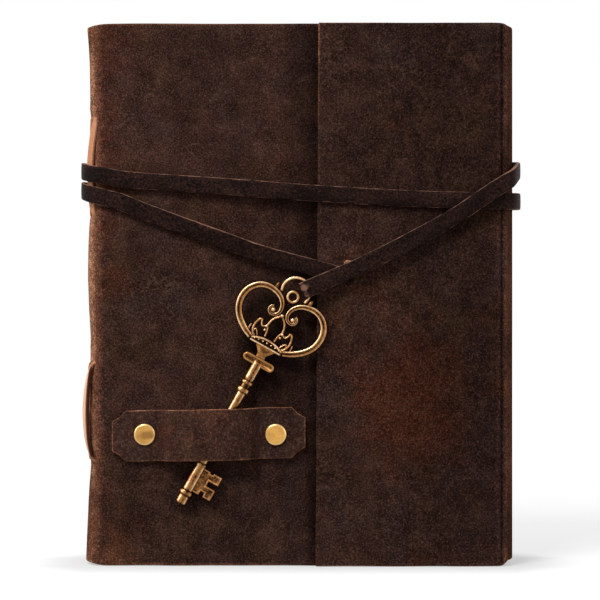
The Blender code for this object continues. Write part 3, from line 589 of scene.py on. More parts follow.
def oiled_hide(name, lift=1.0):
    f = new_finish(name)
    spot = f.place()
    broad = f.cloud(spot, 46.0, detail=4.0)
    red = f.cloud(f.place(shift=(0.31, 0.17, 0.05)), 24.0, detail=5.0, rough=0.66)
    hue = f.cloud(f.place(shift=(0.11, 0.23, 0.37)), 17.0, detail=4.0, rough=0.6)
    mottle = f.cloud(spot, 7.0, detail=5.0, rough=0.62)
    speckle = f.cloud(spot, 0.62, detail=2.0, rough=0.75)
    pores = f.cloud(spot, 1.5, detail=3.0, rough=0.65)
    colour = f.mix(DEEP_BROWN, MID_BROWN, (broad * 0.55 + mottle * 0.45).band(0.36, 0.66))
    colour = f.mix(colour, COOL_BROWN, hue.band(0.5, 0.68) * 0.5)
    colour = f.mix(colour, OLIVE_BROWN, hue.band(0.5, 0.34) * 0.5)
    warm = (f.kept("warm") * 0.42 + red).band(0.54, 0.88)
    colour = f.mix(colour, RED_BROWN, warm * 0.8)
    tone = ((speckle - 0.5) * 6.0).most(-0.3) + (pores - 0.5) * 0.6 + (mottle - 0.5) * 0.7 + lift - 0.16
    colour = f.shade(colour, tone.most(0.15))
    rubbed_and_lit = f.cloud(f.place(shift=(0.0, 0.4, 0.2)), 17.0, detail=3.0).band(0.46, 0.66)
    lines = f.crackle(f.push(spot, 2.6, 2.6), 6.0, 0.032) * (rubbed_and_lit * 0.8 + 0.2)
    threads = f.crackle(f.push(spot, 1.4, 1.4), 2.3, 0.07) * mottle.band(0.44, 0.64)
    colour = f.mix(colour, HAIRLINE, lines * 0.3 + threads * 0.22 + speckle.band(0.58, 0.74) * 0.36)
    worn_and_lit = f.kept("wear")
    # Below 0 the kept value darkens: painted shade by the flap, the key's bow and the flap's groove, and a darker flap
    # towards the fold.
    dark_and_painted_shade = worn_and_lit.band(-0.05, -0.8)
    colour = f.shade(colour, 1 - dark_and_painted_shade * 0.62)
    patchy = f.cloud(spot, 4.5, detail=4.0, rough=0.7)
    soft = (worn_and_lit + (patchy - 0.5) * 0.9).band(0.12, 0.8)
    hard = (worn_and_lit + (patchy - 0.5) * 0.8).band(0.74, 1.1)
    # Worn leather turns brown and orange; on the spine's round part of this is painted highlight.
    colour = f.mix(colour, f.shade(WORN_AND_LIT_BROWN, tone.most(0.4)), soft * 0.85)
    colour = f.mix(colour, f.shade(WORN_AND_LIT_ORANGE, tone.most(0.4)), hard * 0.9)
    nap = f.shade(SUEDE, (speckle - 0.5) * 1.2 + (mottle - 0.5) * 0.8 + 1.0)
    flesh = f.kept("flesh").band(0.55, 0.95)
    colour = f.mix(colour, nap, flesh)
    height = speckle * 0.5 + pores * 0.8 + lines * (-0.6)
    f.set(
        Base_Color=colour,
        Roughness=0.6 + (pores - 0.5) * 0.3 + (broad - 0.5) * 0.15 + flesh * 0.25,
        Normal=f.bump(height, 0.2, strength=0.9),
    )
    return f.set(Specular_IOR_Level=0.0)


HIDE = oiled_hide("oiled_hide")
KEEPER_HIDE = oiled_hide("keeper_hide", lift=1.2)
print("finishes:", HIDE.name, KEEPER_HIDE.name)

# %% [markdown]
# ## The hide
#
# The real cover is one hide. Here it is four sheets, because a sheet can bend over one joint: the
# back stays with the book, the front turns at the spine's crease, the fold turns at the back's crease
# and the flap turns at the fold's crease. Back and fold meet at the back's crease. The other sheets
# meet without a bevel in the middle of the spine and in the middle of the fold, so no seam shows.
# Beside the flap the fold is pinched to a groove.

# %% The hide's plan lines
CREASE_X = 73.3
FOLD_MIDDLE = (78.9, -7.0)
GROOVE = (74.3, -15.45)
RIDGE = (76.1, -15.4)
WRAP_END_X = 5.0
spine_back = arc(HINGE_X, STRAIGHT, SPINE_ROUND, 90, 180, 16)
spine_front = arc(HINGE_X, -STRAIGHT, SPINE_ROUND, 180, 270, 16)
COVER_LINE = Line([(CREASE_X, HALF), *spine_back, *spine_front, (COVER_EDGE, -HALF)], axes=2)
FOLD_POINTS = (
    (CREASE_X, HALF),
    (75.0, 13.3),
    (76.5, 10.6),
    (78.2, 6.4),
    (79.25, 1.5),
    (79.35, -2.5),
    FOLD_MIDDLE,
    (78.0, -11.0),
    (76.95, -14.0),
    (76.0, -15.45),
    (75.1, -15.75),
    GROOVE,
    (73.5, -15.95),
    (72.0, FLAP_OUT),
    (64.0, FLAP_OUT),
    (40.0, FLAP_OUT),
    (WRAP_END_X, FLAP_OUT),
)
WRAP_LINE = Line(smooth_line(FOLD_POINTS, 14, axes=2), axes=2)
FOLD_PART = WRAP_LINE.nearest(*FOLD_MIDDLE)
FLAP_GROOVE = WRAP_LINE.nearest(*GROOVE)
FLAP_RIDGE = WRAP_LINE.nearest(*RIDGE)
SPINE_FROM = COVER_LINE.nearest(HINGE_X, HALF)
SPINE_TO = COVER_LINE.nearest(HINGE_X, -HALF)
SPINE_PART = (SPINE_FROM + SPINE_TO) / 2
print("cover line", round(COVER_LINE.length), "mm, wrap line", round(WRAP_LINE.length), "mm")

# %% [markdown]
# ## The sewing
#
# Each signature is sewn with one thong of undyed leather: two long stitches outside the spine and
# runs inside the fold. The tight upper stitches have sunk into the spine, so their places are needed
# before the spine's sheet is laid out. The lower stitch at the front is slack and bows away.

# %% Where the stitches lie
SIGNATURES = 4
BLOCK = HALF - LEATHER - CLEAR
PITCH = 2 * BLOCK / SIGNATURES
SIG_R = (PITCH - CLEAR) / 2
STITCH_Z = (38.0, 75.0, 129.0, 166.0)
STITCH_SINK = 1.0
STITCH_ROUND = 1.7
DENT_WIDTH = 2.3
HOLE_DENT = 4.0


def signature_y(k):
    return -BLOCK + PITCH * (k + 0.5)


def stitch_y(k):
    """The first signature's stitches have been pulled round towards the front."""
    return signature_y(k) - (STITCH_ROUND if k == 0 else 0.0)


def past_straight(y):
    return max(0.0, abs(y) - STRAIGHT)


def spine_wall(y):
    """The spine's outer face at a depth."""
    return HINGE_X - math.sqrt(SPINE_ROUND**2 - past_straight(y) ** 2)


STITCH_S = [COVER_LINE.nearest(spine_wall(stitch_y(k)), stitch_y(k)) for k in range(SIGNATURES)]
PULL_Z = (0.0, 6.0, 12.0, 18.0, 24.0, 32.0, 38.0, 46.0, 75.0, 84.0, 95.0, 107.0, 118.0, 129.0, 166.0)
PULL_Z += (173.0, 186.0, 193.0, 198.0, 200.0)
PULL = (-0.4, -0.2, 0.05, 0.35, 0.6, 1.1, 1.1, 0.75, 0.85, 1.4, 0.75, 0.3, 0.5, 1.0, 1.15)
PULL += (1.25, 1.05, 0.65, 0.3, 0.15)


def spine_pull(z):
    """How far the sewing draws the spine in at a height."""
    return float(np.interp(z, PULL_Z, PULL))


def stitch_dent(s, z):
    """How deep the spine is pressed in under its stitches."""
    across = max(hump(s - middle, DENT_WIDTH) for middle in STITCH_S)
    upper = ease((z - STITCH_Z[2] + 2.5) / 3.0) * ease((STITCH_Z[3] + 2.5 - z) / 3.0)
    lower = max(hump(z - hole, HOLE_DENT) for hole in STITCH_Z[:2])
    return STITCH_SINK * across * max(upper, lower)


print("stitches at", [round(s, 1) for s in STITCH_S], "mm along the cover")

# %% [markdown]
# ## The hide's sheets
#
# The edges of the hide are cut by hand, so they waver a little. The spine and the fold are cut shorter
# at both ends. The free edge of the flap slants, and its corners curl away from the cover, but not
# where the lace holds it down. The flap's middle, where the hand takes hold, and the cover beside the
# spine are redder. The spine's round has a painted highlight. Painted shade darkens the cover beside the
# flap and round the key's bow, and the flap's groove; the flap is darker towards the fold. Noise would put
# these anywhere, so each place is a sum of soft humps that a sheet keeps as its wear and painted light,
# or as its warmth.


# %% How the cover lies
SPINE_CUT_TAIL = 1.1
SPINE_CUT_HEAD = 0.8


def uneven(s, z):
    near = math.exp(-min(z, HIDE_HEIGHT - z) / 6.0)
    return 0.22 * near * grain(17.0, s, 3.0, z)


def on_line(line, s, z, side, out):
    """A point off a plan line, out along its outward side."""
    x, y = line(s)
    way = line.way(s)
    return at(x + side * way[1] * out, y - side * way[0] * out, z + uneven(s, z))


def spine_turn_at(s):
    """How far round the spine a place is: 0 at the back cover and 1 at the front cover."""
    return (s - SPINE_FROM) / (SPINE_TO - SPINE_FROM)


def cover_place(s, z):
    turn = spine_turn_at(s)
    side = ease(turn / 0.35) * ease((1.0 - turn) / 0.35)
    trim = SPINE_CUT_TAIL * ease((5.0 - z) / 5.0) - SPINE_CUT_HEAD * ease((z - 192.0) / 8.0)
    out = 0.1 * grain(38.0, s, 11.0, z) - stitch_dent(s, z) - spine_pull(z) * side
    return on_line(COVER_LINE, s, z + side * trim, 1.0, out)


# %% How the cover is worn
EDGE_WORN = 0.8


def edge_wear(z):
    """How worn the head and tail edges are at a height."""
    return max(hump(z, EDGE_WORN), 0.72 * hump(HIDE_HEIGHT - z, EDGE_WORN))


def cover_wear_and_light(s, z):
    """Edges are worn, and so is the round of the spine, which also has a painted highlight. Painted shade darkens the
    cover beside the flap and round the key's bow.
    """
    turn = spine_turn_at(s)
    front = ease((turn - 0.4) / 0.2) * ease((1.01 - turn) / 0.22)
    back = ease((turn + 0.01) / 0.2) * ease((0.6 - turn) / 0.2)
    # The spine's round is worn and also carries a painted highlight, raised more about 58 mm up.
    bend = max(front, back) * (0.85 + 0.3 * grain(26.0, s, 5.0, z) + 0.2 * grain(7.0, s, 8.0, z))
    bend *= 1.06 + 0.25 * hump(z - 58.0, 20.0)
    corner = hump(z, 13.0) * hump(turn - 0.95, 0.35)
    x = COVER_LINE(s)[0]
    # Painted shade: dark beside the flap, at the flap's edge and round the key's bow.
    shade_beside_flap = (0.35 + 0.2 * ease((z - 60.0) / 60.0)) * hump(min(0.0, x - 4.0), 13.0)
    shade_at_flap_edge = 0.7 * hump(min(0.0, x - 5.5), 3.5)
    shade_round_bow = 0.85 * hump(x + 11.0, 15.0) * hump(z - 80.0, 25.0)
    painted_shade = max(shade_beside_flap, shade_at_flap_edge, shade_round_bow) if turn > 1.0 else 0.0
    return max(edge_wear(z), bend, 0.5 * corner) - painted_shade


# %% The cover's two sheets
def at_part(part):
    """A test for the line where two sheets of the hide meet."""
    return lambda s, z: 1.0 if abs(s - part) < 0.01 else 0.0


CUT_ROUND = 0.45
HEIGHTS = grid_lines(0.0, HIDE_HEIGHT, 2.6)
BACK_FLAT = SPINE_FROM - 3.0
FRONT_FLAT = SPINE_TO + 6.0
back_lines = [
    *grid_lines(0.0, BACK_FLAT, 4.5, fine_high=False)[:-1],
    *grid_lines(BACK_FLAT, SPINE_PART, 0.75, fine_low=False, fine_high=False),
]
front_lines = [
    *grid_lines(SPINE_PART, FRONT_FLAT, 0.75, fine_low=False, fine_high=False)[:-1],
    *grid_lines(FRONT_FLAT, COVER_LINE.length, 3.5, fine_low=False),
]
at_spine = at_part(SPINE_PART)
back_grid = [(back_lines, HEIGHTS, cover_place, cover_wear_and_light)]
front_grid = [(front_lines, HEIGHTS, cover_place, cover_wear_and_light)]
back = sheet("hide_back", back_grid, LEATHER, CUT_ROUND, HIDE, seam_of=at_spine, soften=4)
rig.ride(back, "book")
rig.replaces(back, "spine", "back_cover")
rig.slot(back, "hide")
cover = sheet("hide_front", front_grid, LEATHER, CUT_ROUND, HIDE, seam_of=at_spine, soften=4)
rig.blend(cover, "book", "front", start=at(-74.5, -HALF, 0.0), end=at(-66.0, -HALF, 0.0))
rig.replaces(cover, "front_cover")
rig.slot(cover, "hide")


def keep_warmth(piece, warmth):
    values = [warmth(v.co.x / MM, v.co.y / MM - SHIFT_Y, v.co.z / MM) for v in piece.data.vertices]
    piece.data.attributes.new("warm", "FLOAT", "POINT").data.foreach_set("value", values)


keep_warmth(cover, lambda x, y, z: 0.4 * hump(x - HINGE_X, 9.0) * ease((-8.0 - y) / 4.0))
print("back and front:", len(back.data.polygons), "and", len(cover.data.polygons), "faces")

# %% The fold
FOLD_CUT_TAIL = 2.0
FOLD_CUT_HEAD = 0.9
FOLD_ROUND = 0.4


def fold_trim(s, z):
    """How far the cut edge of the fold lies from the hide's head or tail."""
    ends = FOLD_CUT_TAIL * ease((9.0 - z) / 9.0) - FOLD_CUT_HEAD * ease((z - 186.0) / 14.0)
    return ends * ease(s / 7.0) * ease((FLAP_GROOVE + 0.6 - s) / 4.0)


def fold_place(s, z):
    return on_line(WRAP_LINE, s, z + fold_trim(s, z), -1.0, 0.0)


def fold_wear(s, z):
    streak = 0.72 * hump(s - FOLD_PART * 0.6, 8.0) * (0.8 + 0.5 * grain(19.0, s, 1.0, z))
    return max(edge_wear(z), streak)


fold_lines = grid_lines(0.0, FOLD_PART, 1.1, fine_high=False)
at_fold = at_part(FOLD_PART)
fold_grid = [(fold_lines, HEIGHTS, fold_place, fold_wear)]
fold = sheet("hide_fold", fold_grid, LEATHER, FOLD_ROUND, HIDE, seam_of=at_fold, flip=True)
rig.blend(fold, "book", "fold", start=at(73.5, HALF, 0.0), end=at(78.0, 10.5, 0.0))
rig.replaces(fold, "fore_edge_fold")
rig.slot(fold, "hide")
print("fold:", len(fold.data.polygons), "faces")

# %% The flap
FREE_EDGE_HEAD = 6.85
FREE_EDGE_TAIL = 5.75
CURL_TAIL = 0.75
CURL_HEAD = 0.45
CURL_REACH = 26.0


def flap_reach(z):
    """Where the flap's slanting free edge lies along the wrap line."""
    edge = FREE_EDGE_TAIL + (FREE_EDGE_HEAD - FREE_EDGE_TAIL) * z / HIDE_HEIGHT
    return WRAP_LINE.length - (edge - WRAP_END_X) + 0.15 * grain(23.0, z, 2.0, 0.0)


FLAP_MIDDLE = flap_reach(HIDE_HEIGHT / 2)
FLAP_FLAT = FLAP_GROOVE + 6.0


def flap_place(s, z):
    if s > FLAP_FLAT:
        share = (s - FLAP_FLAT) / (FLAP_MIDDLE - FLAP_FLAT)
        s = FLAP_FLAT + share * (flap_reach(z) - FLAP_FLAT)
    free = ease(1.0 - (flap_reach(z) - s) / CURL_REACH)
    curl = CURL_TAIL * ease((62.0 - z) / 50.0) + CURL_HEAD * ease((z - 152.0) / 40.0)
    return on_line(WRAP_LINE, s, z + fold_trim(s, z), -1.0, curl * free)


def flap_wear_and_shade(s, z):
    free = FLAP_MIDDLE - s
    head = 0.45 + 0.6 * ease((z - 150.0) / 45.0)
    edge = head * hump(free, 0.7) * (0.9 + 0.5 * grain(15.0, z, 9.0, 0.0))
    ridge = hump(max(0.0, s - FLAP_RIDGE), 1.1) * (0.55 + 0.35 * grain(24.0, s, 4.0, z))
    tail = 0.75 * hump(s - FLAP_RIDGE, 2.0) * hump(z, 10.0)
    # The flap is darker towards the fold and in a patch near the free edge about 147 mm up.
    dark_and_painted_shade = (0.18 + 0.27 * ease((free - 12.0) / 34.0)) * ease((s - FLAP_GROOVE - 0.8) / 2.0)
    dark_and_painted_shade += 0.26 * hump(z - 147.0, 19.0) * hump(free - 14.0, 17.0)
    # Painted shade in the groove by the fold.
    dark_and_painted_shade = max(dark_and_painted_shade, 0.95 * hump(s - FLAP_GROOVE, 0.55))
    return max(edge_wear(z), edge, ridge, tail) - dark_and_painted_shade


flap_lines = [
    *grid_lines(FOLD_PART, FLAP_FLAT, 0.45, fine_low=False, fine_high=False)[:-1],
    *grid_lines(FLAP_FLAT, FLAP_MIDDLE, 3.0, fine_low=False),
]
flap_grid = [(flap_lines, HEIGHTS, flap_place, flap_wear_and_shade)]
flap = sheet("hide_flap", flap_grid, LEATHER, CUT_ROUND, HIDE, seam_of=at_fold, flip=True, soften=12)
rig.blend(flap, "fold", "wrap", start=at(77.4, -12.6, 0.0), end=at(71.5, FLAP_OUT, 0.0))
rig.replaces(flap, "flap")
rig.slot(flap, "hide")
WARM_X = 42.0
WARM_Z = 62.0
keep_warmth(flap, lambda x, y, z: hump(x - WARM_X, 22.0) * hump(z - WARM_Z, 30.0))
print("flap:", len(flap.data.polygons), "faces")

# %% [markdown]
# ## The lace
#
# The lace is a flat strip of nearly black leather with raw, paler edges. It starts in a slit in the
# flap, goes round the spine and the fold twice, crosses itself at the fold and ends in a loop on the
# key. A bevelled curve would twist at the turns, so each point of the route also says which way the
# lace's width lies. The route repeats the points of the model, so it lies where the solid lies. It is
# cut into lengths where a panel ends, so each length stays on the leather that carries it.

# %% The lace's sizes and its key end
LACE_WIDTH = 6.1
LACE_THICK = 1.5
LACE_ROUND = 10.35
LACE_FAR = 81.45
LACE_LEAD = 4.5
SLIT_X = 17.6
SLIT_Z = 106.2
SLIT_TURN = math.radians(15.0)
LACE_FIRST = ((4.0, 110.1), (-12.0, 114.5), (-37.0, 123.3), (-59.0, 131.2))
LACE_SECOND = ((37.0, 135.4), (9.0, 137.0), (-15.0, 138.8), (-37.0, 140.4))
LACE_THIRD = ((59.0, 130.2), (44.0, 121.6), (22.0, 110.4))
LACE_SPINE_Z = ((135.2, 141.0), (143.4, 147.6))
LACE_BACK = (((-30.0, 140.4), (20.0, 138.6)), ((-30.0, 148.6), (20.0, 148.6)))
LACE_FOLD_Z = (
    (135.9, 135.6, 135.3, 135.0, 134.8, 134.6, 134.5, 134.4, 134.4),
    (147.4, 147.4, 147.5, 147.4, 147.0, 146.4, 145.4, 142.3, 138.2),
)
ON_FLAP = FLAP_OUT - CLEAR - LACE_THICK / 2
STRAND_GAP = 0.85
OVER = ON_FLAP - LACE_THICK - STRAND_GAP
AT_SPINE = -(STRAIGHT + LACE_ROUND)
HALFWAY = 0.5 * (ON_FLAP + AT_SPINE)
UPRIGHT = (0.0, 0.0, 1.0)
LEANING = (0.0, -0.22, 1.0)

KEY_ANGLE = math.radians(29.14)
KEY_TILT = math.radians(1.3)
KEY_TURN = Matrix.Rotation(KEY_ANGLE, 4, "Y") @ Matrix.Rotation(KEY_TILT, 4, "X")
TIP_LENGTH = 3.5
COLLAR_R = 2.75
KEY_Y = math.sin(KEY_TILT) * TIP_LENGTH - HALF - CLEAR - COLLAR_R
KEY_TIP = Vector((-44.06, KEY_Y, 23.4))
ARC_T = 88.5
ARC_R = 5.2
ARC_WIRE = 0.6


def key_point(u, t):
    """A place in the book's frame from the key's own across and along distances."""
    return KEY_TIP + KEY_TURN @ Vector((u, 0.0, t))


print("lace", LACE_WIDTH, "by", LACE_THICK, "mm, key tip at", [round(c, 1) for c in KEY_TIP])


# %% The lace's turns
def spine_turn(front, back):
    rise = back - front
    turn = [(HINGE_X + LACE_LEAD, AT_SPINE, front - 0.2 * rise, *UPRIGHT)]
    for i in range(11):
        middle = -STRAIGHT if i <= 5 else STRAIGHT
        a = math.radians(-90 - 90 * i / 5 if i <= 5 else 180 - 90 * (i - 5) / 5)
        z = back - rise * (1 - i / 10) ** 1.5
        turn.append((HINGE_X + LACE_ROUND * math.cos(a), middle + LACE_ROUND * math.sin(a), z, *UPRIGHT))
    return [*turn, (HINGE_X + LACE_LEAD, -AT_SPINE, back, *UPRIGHT)]


def fold_turn(heights, front):
    depth = HALF + CLEAR + LACE_THICK / 2
    places = (
        (FORE_X - 3 * LACE_LEAD, depth + 0.3),
        (FORE_X - 6.0, depth + 0.3),
        (FORE_X + 1.5, depth - 0.3),
        (LACE_FAR - 2.6, 0.72 * depth),
        (LACE_FAR - 0.3, 0.3 * depth),
        (LACE_FAR, -0.2 * depth),
        (LACE_FAR - 0.9, -0.72 * depth),
        (FORE_X + 3.0, front + 1.2),
        (FORE_X - 3.5, front),
    )
    return [(x, y, z, *UPRIGHT) for (x, y), z in zip(places, heights)]


def slit_start():
    width = (math.sin(SLIT_TURN), 0.0, math.cos(SLIT_TURN))
    bend = ON_FLAP - FLAP_OUT
    runs = (
        (0.0, FLAP_IN - 0.1),
        (0.0, FLAP_OUT + 0.35),
        (0.32, FLAP_OUT + 0.75 * bend),
        (1.2, ON_FLAP),
        (4.0, ON_FLAP),
    )
    left, up = -math.cos(SLIT_TURN), math.sin(SLIT_TURN)
    return [(SLIT_X + left * run, y, SLIT_Z + up * run, *width) for run, y in runs]


def key_loop():
    turn = math.radians(40.0)
    spot = key_point(ARC_R * math.sin(turn), ARC_T + ARC_R * math.cos(turn))
    way = Vector((LACE_THIRD[-1][0] - spot.x, 0.0, LACE_THIRD[-1][1] - spot.z)).normalized()
    width = (-way.z, 0.0, way.x)
    loop = ARC_WIRE + 1.5 * CLEAR + LACE_THICK / 2
    inside = loop + CLEAR + (LACE_WIDTH / 2) ** 2 / (2 * ARC_R)
    places = [(spot + way * 8.0, OVER - 0.3)]
    for i in range(9):
        a = math.radians(-70 + 230 * i / 8)
        places.append((spot - way * inside * math.sin(a), spot.y - loop * math.cos(a)))
    places.append((spot + way * 1.8, spot.y + loop))
    return [(p.x, y, p.z, *width) for p, y in places]


# %% The lace's whole route
def strand(points, depths, tilts):
    return [(x, y, z, *tilt) for (x, z), y, tilt in zip(points, depths, tilts)]


route = slit_start()
depths = (ON_FLAP - 0.1, ON_FLAP - 0.1, HALFWAY - 0.3, AT_SPINE - 0.1)
route += strand(LACE_FIRST, depths, (UPRIGHT, LEANING, LEANING, UPRIGHT))
for lap in range(2):
    route += spine_turn(*LACE_SPINE_Z[lap])
    route += strand(LACE_BACK[lap], (-AT_SPINE, -AT_SPINE - 0.4), (UPRIGHT, UPRIGHT))
    route += fold_turn(LACE_FOLD_Z[lap], (ON_FLAP, OVER)[lap])
    if lap == 0:
        depths = (ON_FLAP, ON_FLAP - 0.1, ON_FLAP - 0.05, HALFWAY)
        route += strand(LACE_SECOND, depths, [UPRIGHT] * 4)
route += strand(LACE_THIRD, (OVER, OVER - 0.1, OVER - 0.2), [UPRIGHT] * 3)
route += key_loop()
LACE_LINE = Line(smooth_line(route, 24, axes=3), axes=3)
print("lace length", round(LACE_LINE.length), "mm")

# %% [markdown]
# ## The lace's finish and lengths
#
# The faces of the lace are almost black with a dull wax shine. Its two long edges were cut from the
# hide without dye on them, so they are pinkish tan, with dark stains here and there. The stains follow
# the strip's own flat map, so they run along it round every turn.

# %% The lace's finish
LACE_DARK = (0.0070, 0.0031, 0.0024)
LACE_BROWN = (0.0275, 0.0120, 0.0092)
LACE_EDGE = (0.2600, 0.1250, 0.0850)


def waxed_lace():
    f = new_finish("waxed_lace")
    along = f.flat(stretch=(1.0, 0.35, 1.0))
    broad = f.cloud(along, 7.0, detail=3.0)
    fine = f.cloud(f.place(), 0.8, detail=3.0, rough=0.75)
    colour = f.mix(LACE_DARK, LACE_BROWN, (broad * 0.7 + fine * 0.3).band(0.36, 0.66))
    colour = f.shade(colour, ((fine - 0.5) * 6.0 + 0.85).most(0.1))
    colour = f.mix(colour, LACE_EDGE, fine.band(0.62, 0.8) * 0.2)
    raw = (f.kept("wear") + (f.cloud(along, 1.6, detail=4.0) - 0.5) * 1.9).band(0.5, 0.95)
    colour = f.mix(colour, f.shade(LACE_EDGE, (fine - 0.5) * 1.4 + 1.0), raw * 0.9)
    f.set(
        Base_Color=colour,
        Roughness=0.5 + (fine - 0.5) * 0.4,
        Normal=f.bump(fine * 0.8 + broad * 0.5, 0.16, strength=0.8),
    )
    return f.set(Specular_IOR_Level=0.04)


LACE = waxed_lace()
print("finish:", LACE.name)


# %% Where the lace is cut
def first_after(start, test):
    """The first distance along the lace after start where a place passes the test."""
    for s in np.arange(start, LACE_LINE.length, 0.25):
        if test(*LACE_LINE(s)[:3]):
            return float(s)
    raise ValueError("the lace never gets there")


FLAP_END_X = 6.15
KEY_CUT_X = 12.5
FOLD_CUT_X = 70.0
LAP_STATIONS = (
    lambda x, y, z: x < FLAP_END_X,
    lambda x, y, z: y > 0 and x < HINGE_X,
    lambda x, y, z: y > 0 and x > 0,
    lambda x, y, z: y < 0 and x > FOLD_CUT_X,
)
cuts = [0.0]
for test in (*LAP_STATIONS, *LAP_STATIONS, lambda x, y, z: x < KEY_CUT_X):
    cuts.append(first_after(cuts[-1], test))
cuts.append(LACE_LINE.length)
print("lace cut at", [round(c) for c in cuts])

# %% The lace's lengths
LACE_CUT_ROUND = 0.45
LACE_CROWN = 0.08
LACE_OUTLINE = strip_outline(LACE_WIDTH, LACE_THICK, LACE_CUT_ROUND, crown=LACE_CROWN)


def lace_place(u, out, s):
    here = LACE_LINE(s)
    way = Vector(LACE_LINE.way(s, 0.6))
    tilt = Vector(here[3:])
    across = (tilt - way * tilt.dot(way)).normalized()
    wave = 0.16 * grain(26.0, s, 1.0, 0.0)
    place = Vector(here[:3]) + across * (u * (1.0 + 0.03 * grain(14.0, s, 4.0, 0.0)) + wave)
    return at(*(place + across.cross(way) * out))


def lace_wear_and_light(u, raw, s):
    """The upper edge has a painted highlight, so it is a little paler than the lower one, and the key end is rubbed.
    """
    end = 0.85 * hump(LACE_LINE.length - 7.5 - s, 1.7)
    # Painted highlight: the upper edge is kept paler than the lower one.
    side = 1.0 if u > 0 else 0.8
    return max(raw * side * (1.0 + 0.35 * grain(11.0, s, u, 0.0)), 0.95 * end)


def lace_rows(start, end):
    """Distances along the lace, closer together where it turns."""
    rows, held = [start], LACE_LINE.way(start)
    for s in np.arange(start, end, 0.5):
        turned = math.acos(min(1.0, float(np.dot(held, LACE_LINE.way(s)))))
        if s - rows[-1] > 3.0 or (turned > 0.12 and s - rows[-1] > 0.45):
            rows.append(float(s))
            held = LACE_LINE.way(s)
    return [s for s in rows if end - s > 0.3] + [end]


SPINE_CREASE = dict(start=at(-66.0, -HALF, 0.0), end=at(-74.5, -HALF, 0.0))
BACK_CREASE = dict(start=at(73.5, HALF, 0.0), end=at(78.0, 10.5, 0.0))
FRONT_CREASE = dict(start=at(77.4, -12.6, 0.0), end=at(71.5, FLAP_OUT, 0.0))
LENGTHS = (
    ("lace_start", "wrap", None, None),
    ("lace_first_spine", "front", "book", SPINE_CREASE),
    ("lace_first_back", "book", None, None),
    ("lace_first_fold", "book", "fold", BACK_CREASE),
    ("lace_second_flap", "fold", "wrap", FRONT_CREASE),
    ("lace_second_spine", "front", "book", SPINE_CREASE),
    ("lace_second_back", "book", None, None),
    ("lace_second_fold", "book", "fold", BACK_CREASE),
    ("lace_third_flap", "fold", "wrap", FRONT_CREASE),
    ("lace_key_loop", "key_body", None, None),
)
for n, (name, first, second, crease) in enumerate(LENGTHS):
    piece = strip(name, LACE_OUTLINE, lace_rows(cuts[n], cuts[n + 1]), lace_place, lace_wear_and_light, LACE)
    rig.slot(piece, "lace")
    if second is None:
        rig.ride(piece, first)
    else:
        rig.blend(piece, first, second, **crease)
    if n == 1:
        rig.replaces(piece, "tie_lace")
print("lace in", len(LENGTHS), "lengths")

# %% [markdown]
# ## The slit and the thongs
#
# The leather at the slit in the flap is torn up a little, and its raw lip shows orange above the
# lace. Below the lace the end of the strip bulges. The thongs are pinkish tan, and pinched where they
# pass a hole. Each one runs along inside its signature, out through the spine and back in again, so
# its path is a line with four pairs of rounded corners. The slack stitch is turned at its ends; its
# inner edge has painted shade and its outer edge a painted highlight.

# %% The slit's lip and the bulge below it
def small_strip(name, points, width, wear, material):
    """A short strip on the flap, thinner at its ends."""
    line = Line(smooth_line(points, 8, axes=2), axes=2)

    def place(u, out, s):
        x, z = line(s)
        way = line.way(s)
        thin = 0.35 + 0.65 * ease(min(s, line.length - s) / 1.4)
        return at(x - way[1] * u * thin, FLAP_OUT - (0.4 + out) * thin, z + way[0] * u * thin)

    def worn_and_lit(u, raw, s):
        return wear

    rows = list(np.linspace(0.0, line.length, 24))
    piece = strip(name, strip_outline(width, 1.0, 0.4), rows, place, worn_and_lit, material)
    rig.ride(piece, "wrap")
    return piece


LIP = ((16.1, 111.1), (17.0, 111.9), (18.2, 112.0), (19.4, 111.5))
BULGE = ((15.4, 105.6), (16.6, 104.5), (18.2, 104.5), (19.7, 106.0))
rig.slot(small_strip("slit_lip", LIP, 1.2, 1.2, HIDE), "hide")
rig.slot(small_strip("slit_bulge", BULGE, 1.9, 0.2, LACE), "lace")
print("slit at", SLIT_X, "and", SLIT_Z)

# %% The thongs' finish
TAN = (0.550, 0.245, 0.132)
TAN_PAINTED_LIGHT = (0.860, 0.530, 0.380)
TAN_DARK = (0.300, 0.120, 0.065)
TAN_PAINTED_SHADE = (0.055, 0.020, 0.012)


def undyed_thong():
    f = new_finish("undyed_thong")
    broad = f.cloud(f.place(), 8.0, detail=4.0)
    fine = f.cloud(f.flat(stretch=(1.0, 0.25, 1.0)), 0.6, detail=3.0, rough=0.7)
    colour = f.mix(TAN, TAN_DARK, broad.band(0.5, 0.8) * 0.7)
    colour = f.mix(colour, TAN_DARK, f.kept("wear").band(0.0, 1.0) * 0.45)
    # Painted shade where the kept value is high and a painted highlight where it is below 0, both on the slack stitch.
    colour = f.mix(colour, TAN_PAINTED_SHADE, f.kept("wear").band(1.15, 1.75))
    colour = f.mix(colour, TAN_PAINTED_LIGHT, (f.kept("wear") * -1.0).band(0.0, 0.9))
    colour = f.shade(colour, (fine - 0.5) * 0.6 + 1.0)
    f.set(Base_Color=colour, Roughness=0.7 + (fine - 0.5) * 0.2, Normal=f.bump(fine, 0.12))
    return f.set(Specular_IOR_Level=0.02)


THONG = undyed_thong()
print("finish:", THONG.name)

# %% A thong's path
THONG_WIDTH = 3.4
THONG_THICK = 0.9
THONG_BEND = 0.9
THONG_TAIL = 8.0
SLACK_BOW = 3.2
EASY_BOW = 1.15
TIGHT_BOW = 0.1
FIRST_BOW = 1.75
FIRST_ROUND = 0.9
THONG_STAND = 0.12 + THONG_THICK / 2 - STITCH_SINK


